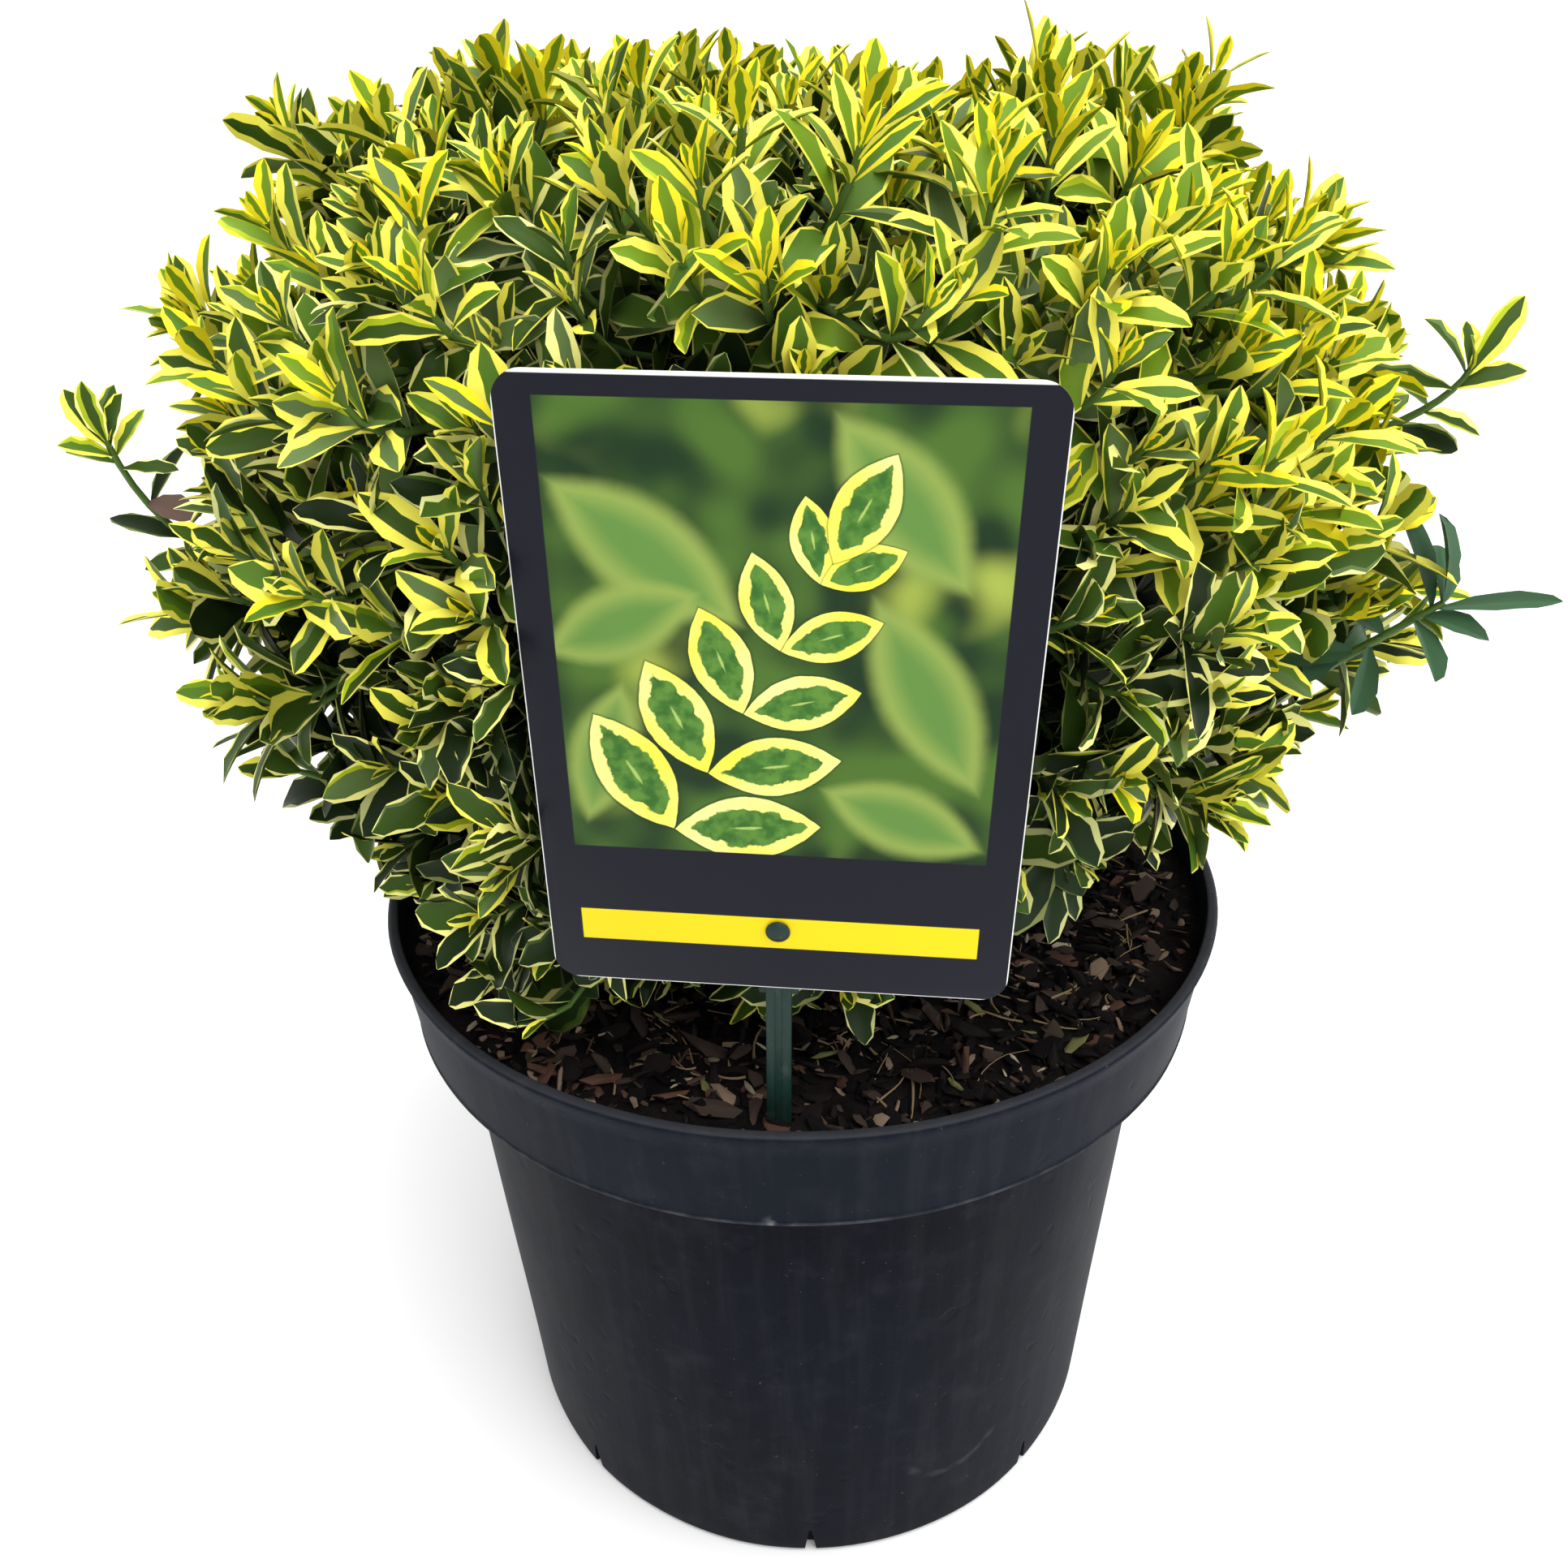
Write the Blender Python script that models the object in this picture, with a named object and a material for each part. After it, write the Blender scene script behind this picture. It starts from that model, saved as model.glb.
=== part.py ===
"""A potted variegated Japanese spindle with its nursery pot, mulch, limbs, leafy masses and label.

The pot stands on its flat underside. The origin is at the middle of that face, +Z is up, and the
front, where the label stands, is towards -Y. Lengths are in metres.
"""

import math
import random

import bmesh
import bpy
import numpy as np
from mathutils import Matrix, Vector

# Clearance between neighbouring pieces, and the distance within which corners are one
GAP = 0.0003
WELD = 1e-7

# Pot: a thin wall that steps out to a collar
POT_HEIGHT = 0.223
RIM_RADIUS = 0.140
COLLAR_HEIGHT = 0.0365
COLLAR_FOOT_RADIUS = 0.135
NECK_RADIUS = 0.1222
BASE_RADIUS = 0.1124
POT_WALL = 0.0022
POT_FLOOR = 0.0026
BASE_ROUND = 0.0025
LIP_WIDTH = 0.0034
LIP_ROUND = 0.0012
ARC_MIDDLE = 1 - math.sqrt(0.5)
POT_SIDES = 48
POT_SMOOTH_ANGLE = 30
DRAIN_COUNT = 8
DRAIN_FIRST = math.radians(-88.5)
DRAIN_WIDTH = 0.006
DRAIN_HEIGHT = 0.007
DRAIN_DEPTH = 0.009
DRAIN_TOP_SHARE = 0.25

# Soil under bark mulch, level with the foot of the stem
SOIL_TOP = 0.213
SOIL_RELIEF = 0.0018
SOIL_FLAT_RADIUS = 0.017
SOIL_RING_COUNT = 3
SOIL_WALL_GAP = 0.00045
SOIL_SEED = 11

# Label: a printed card on a flat stake, both in the card's own frame
CARD_WIDTH = 0.112
CARD_HEIGHT = 0.150
CARD_THICKNESS = 0.0008
CARD_CORNER = 0.0052
CARD_CORNER_SEGMENTS = 5
CARD_FOOT = Vector((-0.0023, -0.128, 0.2624))
CARD_LEAN = math.radians(2.7)
CARD_YAW = math.radians(-3.37)
CARD_ROLL = math.radians(1.46)
STAKE_WIDTH = 0.0065
STAKE_THICKNESS = 0.0025
STAKE_FOOT = -0.0690
STAKE_PLATE_WIDTH = 0.0100
STAKE_PLATE_THICKNESS = 0.0020
STAKE_PLATE_FOOT = -0.0030
STAKE_PLATE_TOP = 0.0260
PIN_HEIGHT = 0.0180
PIN_RADIUS = 0.0018
PIN_HEAD_RADIUS = 0.0030
PIN_HEAD_THICKNESS = 0.0016
PIN_SIDES = 16

# Leaves may cover this much of the card's side edges, and stay this far off it above its top
LABEL_EDGE_COVER = 0.006
LABEL_TOP_SHOW = 0.012

# Crown outline: flat on top, widest at half height, drawn in towards the rim
CROWN_CENTRE = Vector((-0.003, 0.004, 0.345))
CROWN_RADIUS = 0.180
CROWN_UP = 0.130
CROWN_DOWN = 0.135
CROWN_MEAN_HEIGHT = 0.132
TOP_POWER = 2.8
LOW_POWER = 2.0
CROWN_WAVES = ((2, 0.030, 2.9), (3, 0.020, 0.6), (5, 0.016, 1.9))

# Places where the outline stands out: azimuth and elevation in degrees, extra share, spread
BULGES = (
    (-136, -38, 0.20, 0.42),
    (-28, -32, 0.12, 0.35),
    (172, -20, 0.12, 0.45),
    (120, 62, 0.06, 0.35),
)

# Foliage masses: ring name, how many, elevation, azimuth of the first, all in degrees
RINGS = (
    ("top", 1, 90, 0),
    ("upper", 6, 47, -90),
    ("middle", 8, 10, -75),
    ("lower", 7, -30, -102),
)
MASS_SEED = 100
BOUGH_TIP_SHARE = 0.42
HUB_SHARE = 0.60
HUB_STEP = 0.08
HUB_NEAREST = 0.02
CORE_SHARE = 0.76
CORE_INNER_SHARE = 0.48
CORE_REACH = 0.065
CORE_STEP = 0.0015
CORE_WALL_CLEAR = 0.0030
CORE_CLEAR = 0.0030
CORE_ROUGHNESS = 0.22
LEAF_WALL_CLEAR = 0.0004
LEAF_CLEAR = 0.0012
SHOOT_COUNT = 5
SHOOT_TRIES = 40
SHOOT_TIP_SHARE = 0.99
SHOOT_RADIUS = 0.0012
SHOOT_TAPER = 0.8
STEM_RADIUS = 0.0022
STEM_TAPER = 0.7
TARGET_SCATTER = 0.75
TARGET_WALL_WEIGHT = 2.2
HEADING_SCATTER = 0.16
PULL_STEP = 0.015
PULL_STEPS = 30
TWIG_SIDES = 3
TWIG_SAMPLES = 12
EDGE_SAMPLES = (0.2, 0.4, 0.6, 0.8)

# Leaves of a shoot's tip: opening angle in degrees, length, and how far below the tip
LEAF_PAIRS = ((28, 0.0300, 0.0), (50, 0.0340, 0.0030), (70, 0.0330, 0.0130))
LEAF_INSET = 0.85
LEAF_STAGGER = 0.0006
LEAF_WIDTH_SHARE = 0.42
LEAF_WIDEST = 0.56
LEAF_THICKNESS = 0.0010
LEAF_FOLD = 0.14
LEAF_DROOP = 0.10
LIFT_LEVEL = 0.36
LIFT_SLOPE = 0.50

# Trunk: foot and top of its leaning axis, then its radius at shares of its length
TRUNK_FOOT = Vector((-0.003, -0.002, SOIL_TOP + GAP))
TRUNK_TOP = Vector((-0.003, 0.004, 0.388))
TRUNK_RADII = (
    (0.0, 0.0125),
    (0.03, 0.0098),
    (0.12, 0.0088),
    (0.42, 0.0076),
    (0.55, 0.0058),
    (1.0, 0.0026),
)
TRUNK_RESOLUTION = 3

# Boughs: they leave the trunk nearly level at their fork and end where they enter a mass
BOUGH_ROOT_RADIUS = 0.0025
BOUGH_TIP_RADIUS = 0.0018
BOUGH_POINTS = 5
BOUGH_SPREAD = 0.014
BOUGH_LIFT = 0.15
BOUGH_ARRIVAL = 0.35
BOUGH_RESOLUTION = 1
FORK_HEIGHTS = {"lower": 0.2505, "middle": 0.263, "upper": 0.283}

# Long shoots that stand out of the crown: the mass they grow from, then where they bend and end
LONG_SHOOTS = {
    "middle_7": ((-0.160, -0.022, 0.318), (-0.184, -0.031, 0.336), (-0.194, -0.033, 0.368)),
    "middle_3": ((0.150, 0.010, 0.356), (0.176, 0.010, 0.366), (0.190, 0.008, 0.382)),
}
LONG_SHOOT_SCALE = 0.80
LONG_SHOOT_SPIN = 0.6
PAIR_FIRST = 0.7
PAIR_STEP = 0.012
PAIR_OPENING = 64
PAIR_LENGTH = 0.026

# The plain green shoot: fork height, where its bough hands over, its bend and its tip
GREEN_FORK = 0.239
GREEN_POINTS = ((0.130, -0.060, 0.309), (0.150, -0.068, 0.320), (0.172, -0.072, 0.338))
GREEN_SCALE = 1.0
GREEN_SPACE = (0.004, 0.010, 0.022)

# Colours as red, green, blue, then roughness
FINISHES = {
    "pot_plastic": ((0.030, 0.033, 0.038), 0.50),
    "bark_mulch": ((0.055, 0.030, 0.018), 0.95),
    "stem_bark": ((0.110, 0.095, 0.045), 0.80),
    "leaf_variegated": ((0.420, 0.450, 0.060), 0.55),
    "leaf_green": ((0.035, 0.110, 0.030), 0.45),
    "card_print": ((0.030, 0.032, 0.045), 0.35),
    "stake_plastic": ((0.015, 0.050, 0.038), 0.45),
}


def finish(name):
    """One Principled material for each kind of surface."""
    found = bpy.data.materials.get(name)
    if found:
        return found
    colour, roughness = FINISHES[name]
    made = bpy.data.materials.new(name)
    made.use_nodes = True
    shader = made.node_tree.nodes["Principled BSDF"]
    shader.inputs["Base Color"].default_value = (*colour, 1.0)
    shader.inputs["Roughness"].default_value = roughness
    made.diffuse_color = (*colour, 1.0)
    return made


def object_from(bm, name, material, smooth_angle=None):
    """Turns a bmesh into a linked object with its material."""
    mesh = bpy.data.meshes.new(name)
    bm.to_mesh(mesh)
    bm.free()
    mesh.materials.append(finish(material))
    if smooth_angle is not None:
        mesh.shade_smooth()
        mesh.set_sharp_from_angle(angle=math.radians(smooth_angle))
    made = bpy.data.objects.new(name, mesh)
    bpy.context.scene.collection.objects.link(made)
    return made


def turned(profile, sides):
    """A closed solid turned about Z from a profile that starts and ends on the axis."""
    bm = bmesh.new()
    rim = [bm.verts.new((radius, 0.0, height)) for radius, height in profile]
    edges = [bm.edges.new(pair) for pair in zip(rim, rim[1:])]
    bmesh.ops.spin(
        bm,
        geom=rim + edges,
        cent=(0, 0, 0),
        axis=(0, 0, 1),
        angle=math.tau,
        steps=sides,
        use_merge=True,
    )
    bmesh.ops.remove_doubles(bm, verts=bm.verts, dist=WELD)
    bmesh.ops.recalc_face_normals(bm, faces=bm.faces)
    return bm


def cut(target, cutter, name):
    """Cuts the target by a hidden wire cutter that stays in the scene."""
    cutter.hide_render = True
    cutter.display_type = "WIRE"
    modifier = target.modifiers.new(name, "BOOLEAN")
    modifier.operation = "DIFFERENCE"
    modifier.object = cutter


def box(bm, size, centre):
    """Adds a box to the bmesh and returns its vertices."""
    place = Matrix.Translation(centre) @ Matrix.Diagonal((*size, 1.0))
    return bmesh.ops.create_cube(bm, size=1.0, matrix=place)["verts"]


def wall_radius(height):
    """The outer radius of the pot below its collar."""
    share = height / (POT_HEIGHT - COLLAR_HEIGHT)
    return BASE_RADIUS + (NECK_RADIUS - BASE_RADIUS) * share


def collar_radius(height):
    """The outer radius of the collar."""
    share = (height - POT_HEIGHT + COLLAR_HEIGHT) / COLLAR_HEIGHT
    return COLLAR_FOOT_RADIUS + (RIM_RADIUS - COLLAR_FOOT_RADIUS) * share


def make_pot():
    """The pot's shell, with drain notches round the edge of its underside."""
    shelf = POT_HEIGHT - COLLAR_HEIGHT
    profile = [
        (0.0, 0.0),
        (BASE_RADIUS - BASE_ROUND, 0.0),
        (BASE_RADIUS - ARC_MIDDLE * BASE_ROUND, ARC_MIDDLE * BASE_ROUND),
        (wall_radius(BASE_ROUND), BASE_ROUND),
        (NECK_RADIUS, shelf),
        (COLLAR_FOOT_RADIUS - LIP_ROUND, shelf),
        (COLLAR_FOOT_RADIUS, shelf + LIP_ROUND),
        (RIM_RADIUS, POT_HEIGHT - LIP_ROUND),
        (RIM_RADIUS - ARC_MIDDLE * LIP_ROUND, POT_HEIGHT - ARC_MIDDLE * LIP_ROUND),
        (RIM_RADIUS - LIP_ROUND, POT_HEIGHT),
        (RIM_RADIUS - LIP_WIDTH, POT_HEIGHT),
        (collar_radius(POT_HEIGHT - LIP_WIDTH) - POT_WALL, POT_HEIGHT - LIP_WIDTH),
        (COLLAR_FOOT_RADIUS - POT_WALL, shelf + POT_WALL),
        (NECK_RADIUS - POT_WALL, shelf + POT_WALL),
        (wall_radius(POT_FLOOR) - POT_WALL, POT_FLOOR),
        (0.0, POT_FLOOR),
    ]
    pot = object_from(turned(profile, POT_SIDES), "pot", "pot_plastic", POT_SMOOTH_ANGLE)
    bm = bmesh.new()
    for index in range(DRAIN_COUNT):
        turn = DRAIN_FIRST + math.tau * index / DRAIN_COUNT
        reach = DRAIN_DEPTH + 2 * BASE_ROUND
        middle = Vector((BASE_RADIUS - DRAIN_DEPTH + reach / 2, 0, 0))
        corners = box(bm, (reach, DRAIN_WIDTH, 2 * DRAIN_HEIGHT), middle)
        for corner in corners:
            if corner.co.z > 0:
                corner.co.y *= DRAIN_TOP_SHARE
        bmesh.ops.rotate(bm, verts=corners, matrix=Matrix.Rotation(turn, 3, "Z"))
    bmesh.ops.recalc_face_normals(bm, faces=bm.faces)
    cut(pot, object_from(bm, "drain_cutter", "pot_plastic"), "drains")


def label_frame():
    """The card's frame: X along its foot, Z up the card, Y out of its back."""
    turn = Matrix.Rotation(CARD_YAW, 4, "Z") @ Matrix.Rotation(CARD_LEAN, 4, "X")
    return Matrix.Translation(CARD_FOOT) @ turn @ Matrix.Rotation(CARD_ROLL, 4, "Y")


LABEL_PLACE = label_frame()
LABEL_INVERSE = LABEL_PLACE.inverted()
STAKE_FACE = CARD_THICKNESS / 2 + GAP
STAKE_MIDDLE = STAKE_FACE + STAKE_THICKNESS / 2


def make_soil():
    """The filling of the pot, with a socket for the stake."""
    shelf = POT_HEIGHT - COLLAR_HEIGHT + POT_WALL
    clear = POT_WALL + SOIL_WALL_GAP
    edge = collar_radius(SOIL_TOP) - clear
    ring_step = (SOIL_FLAT_RADIUS - edge) / SOIL_RING_COUNT
    rings = [edge + ring_step * order for order in range(1, SOIL_RING_COUNT)]
    profile = [
        (0.0, POT_FLOOR + GAP),
        (wall_radius(POT_FLOOR) - clear, POT_FLOOR + GAP),
        (wall_radius(shelf) - clear, shelf + GAP),
        (COLLAR_FOOT_RADIUS - clear, shelf + GAP),
        (edge, SOIL_TOP),
        *[(radius, SOIL_TOP) for radius in rings],
        (SOIL_FLAT_RADIUS, SOIL_TOP),
        (0.0, SOIL_TOP),
    ]
    bm = turned(profile, POT_SIDES)
    rng = random.Random(SOIL_SEED)
    for vertex in bm.verts:
        radius = math.hypot(vertex.co.x, vertex.co.y)
        if vertex.co.z > SOIL_TOP - GAP and SOIL_FLAT_RADIUS + GAP < radius < edge - GAP:
            vertex.co.z += rng.uniform(-SOIL_RELIEF, SOIL_RELIEF)
    soil = object_from(bm, "soil", "bark_mulch")
    bm = bmesh.new()
    height = -2 * STAKE_FOOT
    size = (STAKE_WIDTH + 2 * GAP, STAKE_THICKNESS + 2 * GAP, height)
    box(bm, size, (0, STAKE_MIDDLE, STAKE_FOOT - GAP + height / 2))
    cutter = object_from(bm, "socket_cutter", "bark_mulch")
    cutter.matrix_world = LABEL_PLACE
    cut(soil, cutter, "socket")


def make_label():
    """The card, and the stake whose stud holds it."""
    place = bpy.data.objects.new("label_place", None)
    place.matrix_world = LABEL_PLACE
    bpy.context.scene.collection.objects.link(place)

    bm = bmesh.new()
    half = Matrix.Diagonal((CARD_WIDTH / 2, CARD_HEIGHT / 2, 1.0, 1.0))
    upright = Matrix.Translation((0, 0, CARD_HEIGHT / 2)) @ Matrix.Rotation(math.pi / 2, 4, "X")
    bmesh.ops.create_grid(bm, x_segments=1, y_segments=1, size=1.0, matrix=upright @ half)
    bmesh.ops.bevel(
        bm,
        geom=bm.verts[:],
        offset=CARD_CORNER,
        affect="VERTICES",
        segments=CARD_CORNER_SEGMENTS,
        profile=0.5,
        material=-1,
    )
    card = object_from(bm, "label_card", "card_print")
    solid = card.modifiers.new("thickness", "SOLIDIFY")
    solid.thickness = CARD_THICKNESS
    solid.offset = 0.0
    card.parent = place

    lie = Matrix.Rotation(math.pi / 2, 4, "X")
    bm = bmesh.new()
    hole = PIN_RADIUS + GAP
    bmesh.ops.create_cone(
        bm,
        cap_ends=True,
        segments=PIN_SIDES,
        radius1=hole,
        radius2=hole,
        depth=8 * CARD_THICKNESS,
        matrix=Matrix.Translation((0, 0, PIN_HEIGHT)) @ lie,
    )
    cutter = object_from(bm, "pin_hole_cutter", "card_print")
    cutter.parent = place
    cut(card, cutter, "pin_hole")

    bm = bmesh.new()
    back = STAKE_MIDDLE
    height = STAKE_PLATE_TOP - STAKE_FOOT
    box(bm, (STAKE_WIDTH, STAKE_THICKNESS, height), (0, back, STAKE_FOOT + height / 2))
    stake = object_from(bm, "label_stake", "stake_plastic")
    stake.parent = place
    bm = bmesh.new()
    height = STAKE_PLATE_TOP - GAP - STAKE_PLATE_FOOT
    size = (STAKE_PLATE_WIDTH, STAKE_PLATE_THICKNESS, height)
    box(bm, size, (0, back, STAKE_PLATE_FOOT + height / 2))
    plate = object_from(bm, "stake_plate", "stake_plastic")
    bm = bmesh.new()
    front = -CARD_THICKNESS / 2 - GAP
    for radius, near, far in (
        (PIN_RADIUS, back, front - PIN_HEAD_THICKNESS / 2),
        (PIN_HEAD_RADIUS, front, front - PIN_HEAD_THICKNESS),
    ):
        middle = Matrix.Translation((0, (near + far) / 2, PIN_HEIGHT))
        bmesh.ops.create_cone(
            bm,
            cap_ends=True,
            segments=PIN_SIDES,
            radius1=radius,
            radius2=radius,
            depth=abs(near - far),
            matrix=middle @ lie,
        )
    stud = object_from(bm, "stake_stud", "stake_plastic")
    for piece in (plate, stud):
        piece.parent = place
        piece.hide_render = True
        piece.display_type = "WIRE"
        join = stake.modifiers.new(piece.name, "BOOLEAN")
        join.operation = "UNION"
        join.object = piece
        join.use_self = True


def limb_object(name, points, radii, resolution):
    """A tapering limb: a bevelled curve with its ends capped."""
    curve = bpy.data.curves.new(name, "CURVE")
    curve.dimensions = "3D"
    curve.bevel_depth = 1.0
    curve.bevel_resolution = resolution
    curve.use_fill_caps = True
    spline = curve.splines.new("POLY")
    spline.points.add(len(points) - 1)
    for target, point, radius in zip(spline.points, points, radii):
        target.co = (*point, 1.0)
        target.radius = radius
    spline.use_smooth = True
    curve.materials.append(finish("stem_bark"))
    bpy.context.scene.collection.objects.link(bpy.data.objects.new(name, curve))


def trunk_axis(height):
    """The point on the trunk's leaning axis at a height, and its share of the trunk's length."""
    share = (height - TRUNK_FOOT.z) / (TRUNK_TOP.z - TRUNK_FOOT.z)
    return TRUNK_FOOT.lerp(TRUNK_TOP, share), share


def trunk_radius(share):
    """The trunk's radius at a share of its length."""
    for (low, thick), (high, thin) in zip(TRUNK_RADII, TRUNK_RADII[1:]):
        if share <= high:
            return thick + (thin - thick) * (share - low) / (high - low)
    return TRUNK_RADII[-1][1]


def bough_route(turn, fork_height, tip, heading):
    """Points of a bough that leaves the trunk nearly level and ends at its tip along its heading."""
    axis, share = trunk_axis(fork_height)
    out = Vector((math.cos(turn), math.sin(turn), 0.0))
    clearance = GAP
    for _ in range(2):
        start = axis + out * (trunk_radius(share) + clearance)
        leave = start + (out + Vector((0, 0, BOUGH_LIFT))) * BOUGH_SPREAD
        arrive = tip - heading * (tip - start).length * BOUGH_ARRIVAL
        route = bezier(start, leave, arrive, tip, BOUGH_POINTS)
        tilt = math.sin((route[1] - route[0]).angle(out))
        clearance = GAP + tilt * BOUGH_ROOT_RADIUS
    return route


def bezier(start, leave, arrive, end, count):
    """Points along a cubic curve."""
    points = []
    for index in range(count):
        t = index / (count - 1)
        s = 1 - t
        points.append(s**3 * start + 3 * s * s * t * leave + 3 * s * t * t * arrive + t**3 * end)
    return points


def sphere_direction(azimuth, elevation):
    """A unit vector from an azimuth and an elevation in degrees."""
    turn, rise = math.radians(azimuth), math.radians(elevation)
    return Vector((math.cos(turn) * math.cos(rise), math.sin(turn) * math.cos(rise), math.sin(rise)))


BULGE_PLACES = [(sphere_direction(a, e), extra, spread) for a, e, extra, spread in BULGES]


def crown_reach(direction):
    """How far the crown's outline lies from its centre along a unit direction."""
    turn = math.atan2(direction.y, direction.x)
    wave = sum(size * math.sin(count * turn + lag) for count, size, lag in CROWN_WAVES)
    height, power = (CROWN_UP, TOP_POWER) if direction.z > 0 else (CROWN_DOWN, LOW_POWER)
    flat = math.hypot(direction.x, direction.y) / (CROWN_RADIUS * (1 + wave))
    found = (flat**power + (abs(direction.z) / height) ** power) ** (-1 / power)
    bulge = 0.0
    for place, extra, spread in BULGE_PLACES:
        bulge += extra * math.exp(-((direction.angle(place) / spread) ** 2))
    return found * (1 + bulge)


def crown_share(point):
    """A point's distance from the crown's centre, as a share of the outline's."""
    offset = point - CROWN_CENTRE
    if offset.length < WELD:
        return 0.0
    return offset.length / crown_reach(offset.normalized())


def to_crown(cell_direction):
    """The direction in space of a direction in the rounder space where cells are laid out."""
    stretched = cell_direction.copy()
    stretched.z *= CROWN_MEAN_HEIGHT / CROWN_RADIUS
    return stretched.normalized()


def foliage_cells():
    """Names, rings and directions of all masses, in the space where cells are laid out."""
    cells = []
    for ring, count, elevation, first in RINGS:
        for index in range(count):
            name = ring if count == 1 else f"{ring}_{index + 1}"
            cells.append((name, ring, sphere_direction(first + 360 * index / count, elevation)))
    return cells


def cell_walls(cells, index):
    """Unit normals of the planes through the crown's centre that bound one cell."""
    own = cells[index][2]
    walls = []
    for other, (_, _, direction) in enumerate(cells):
        if other != index:
            step = own - direction
            normal = Vector((step.x, step.y, step.z * CROWN_RADIUS / CROWN_MEAN_HEIGHT))
            walls.append(normal.normalized())
    return np.array(walls)


class Surroundings:
    """What leaves and cores keep clear of: limbs, pot, soil and label."""

    def __init__(self, limbs):
        starts, ends, thick, thin = [], [], [], []
        for points, radii in limbs:
            starts += points[:-1]
            ends += points[1:]
            thick += radii[:-1]
            thin += radii[1:]
        self.start = np.array(starts)
        self.run = np.array(ends) - self.start
        self.length = (self.run**2).sum(axis=1)
        self.thick = np.array(thick)
        self.thin = np.array(thin)

    def limb_distance(self, point):
        """The distance from a point to the nearest limb's skin."""
        offset = np.array(point) - self.start
        share = np.clip((offset * self.run).sum(axis=1) / self.length, 0, 1)
        away = np.linalg.norm(offset - self.run * share[:, None], axis=1)
        return float((away - self.thick - (self.thin - self.thick) * share).min())

    def clear(self, point, margin):
        """Whether a point keeps a margin to everything that isn't foliage."""
        radius = math.hypot(point.x, point.y)
        if radius < collar_radius(SOIL_TOP) - POT_WALL - margin:
            low = SOIL_TOP + SOIL_RELIEF
        elif radius < RIM_RADIUS + margin:
            low = POT_HEIGHT
        else:
            low = POT_HEIGHT - COLLAR_HEIGHT
        if point.z <= low + margin or not clear_of_label(point, margin):
            return False
        return self.limb_distance(point) > margin


def clear_of_label(point, margin):
    """Whether a point is outside the card and stake, and outside the view of the card's face."""
    place = LABEL_INVERSE @ point
    side = abs(place.x) - CARD_WIDTH / 2
    behind = place.y - STAKE_FACE - STAKE_THICKNESS
    if behind > margin:
        return True
    if side < -LABEL_EDGE_COVER and place.z < CARD_HEIGHT + LABEL_TOP_SHOW:
        return False
    in_card = side < margin and place.z < CARD_HEIGHT + margin and place.y > -STAKE_FACE - margin
    return not in_card


def leaf_corners(root, along, face, length, width):
    """The six corners of a leaf: root, tip, two sides at its widest, back and front."""
    across = along.cross(face)
    middle = root + along * (length * LEAF_WIDEST)
    raised = face * (width * LEAF_FOLD)
    return [
        root,
        root + along * length - face * (length * LEAF_DROOP),
        middle + across * (width / 2) + raised,
        middle - across * (width / 2) + raised,
        middle + face * (LEAF_THICKNESS / 2),
        middle - face * (LEAF_THICKNESS / 2),
    ]


def leaf_bmesh(corners):
    """A leaf of eight faces: a flattened octahedron with its corners moved into place."""
    bm = bmesh.new()
    bmesh.ops.create_uvsphere(bm, u_segments=4, v_segments=2, radius=1.0)
    root, tip, left, right, front, back = corners
    places = {(0, 0, -1): root, (0, 0, 1): tip, (0, 1, 0): left, (0, -1, 0): right}
    places.update({(1, 0, 0): front, (-1, 0, 0): back})
    for vertex in bm.verts:
        vertex.co = places[tuple(round(value) for value in vertex.co)]
    return bm


def leaf_samples(corners):
    """Points on a leaf's edges and midrib that stand for it when it is tested."""
    root, tip, left, right, front, _ = corners
    samples = list(corners)
    for middle in (left, right, front):
        samples += [root.lerp(middle, share) for share in EDGE_SAMPLES]
        samples += [middle.lerp(tip, share) for share in EDGE_SAMPLES]
    return samples


def twig_bmesh(start, end, root_radius, tip_radius):
    """A tapering three-sided twig between two points."""
    run = end - start
    turn = run.to_track_quat("Z", "Y").to_matrix().to_4x4()
    bm = bmesh.new()
    bmesh.ops.create_cone(
        bm,
        cap_ends=True,
        segments=TWIG_SIDES,
        radius1=root_radius,
        radius2=tip_radius,
        depth=run.length,
        matrix=Matrix.Translation((start + end) / 2) @ turn,
    )
    return bm


def shoot_heading(outward, cell_direction, rng):
    """The heading of a shoot's tip: outwards, lifted towards the light, and a little astray."""
    lift = LIFT_LEVEL + LIFT_SLOPE * cell_direction.z
    astray = Vector([rng.uniform(-HEADING_SCATTER, HEADING_SCATTER) for _ in range(3)])
    return (outward + Vector((0, 0, lift)) + astray).normalized()


def shoot_targets(cell, walls, around, count, rng):
    """Points on the crown's outline, spread over one cell, where its shoots end."""
    chosen = []
    for _ in range(count):
        best, best_score = None, -1.0
        for _ in range(SHOOT_TRIES):
            astray = Vector([rng.uniform(-TARGET_SCATTER, TARGET_SCATTER) for _ in range(3)])
            direction = to_crown((cell[2] + astray).normalized())
            point = CROWN_CENTRE + direction * crown_reach(direction) * SHOOT_TIP_SHARE
            wall = float((walls @ np.array(point - CROWN_CENTRE)).min())
            spacing = min([(point - other).length for other in chosen], default=1.0)
            if not around.clear(point, LEAF_CLEAR):
                point = pulled_in(point, around)
                if point is None:
                    continue
            score = min(spacing, TARGET_WALL_WEIGHT * wall)
            if wall > 2 * LEAF_WALL_CLEAR and score > best_score:
                best, best_score = point, score
        if best is not None:
            chosen.append(best)
    return chosen


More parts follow.
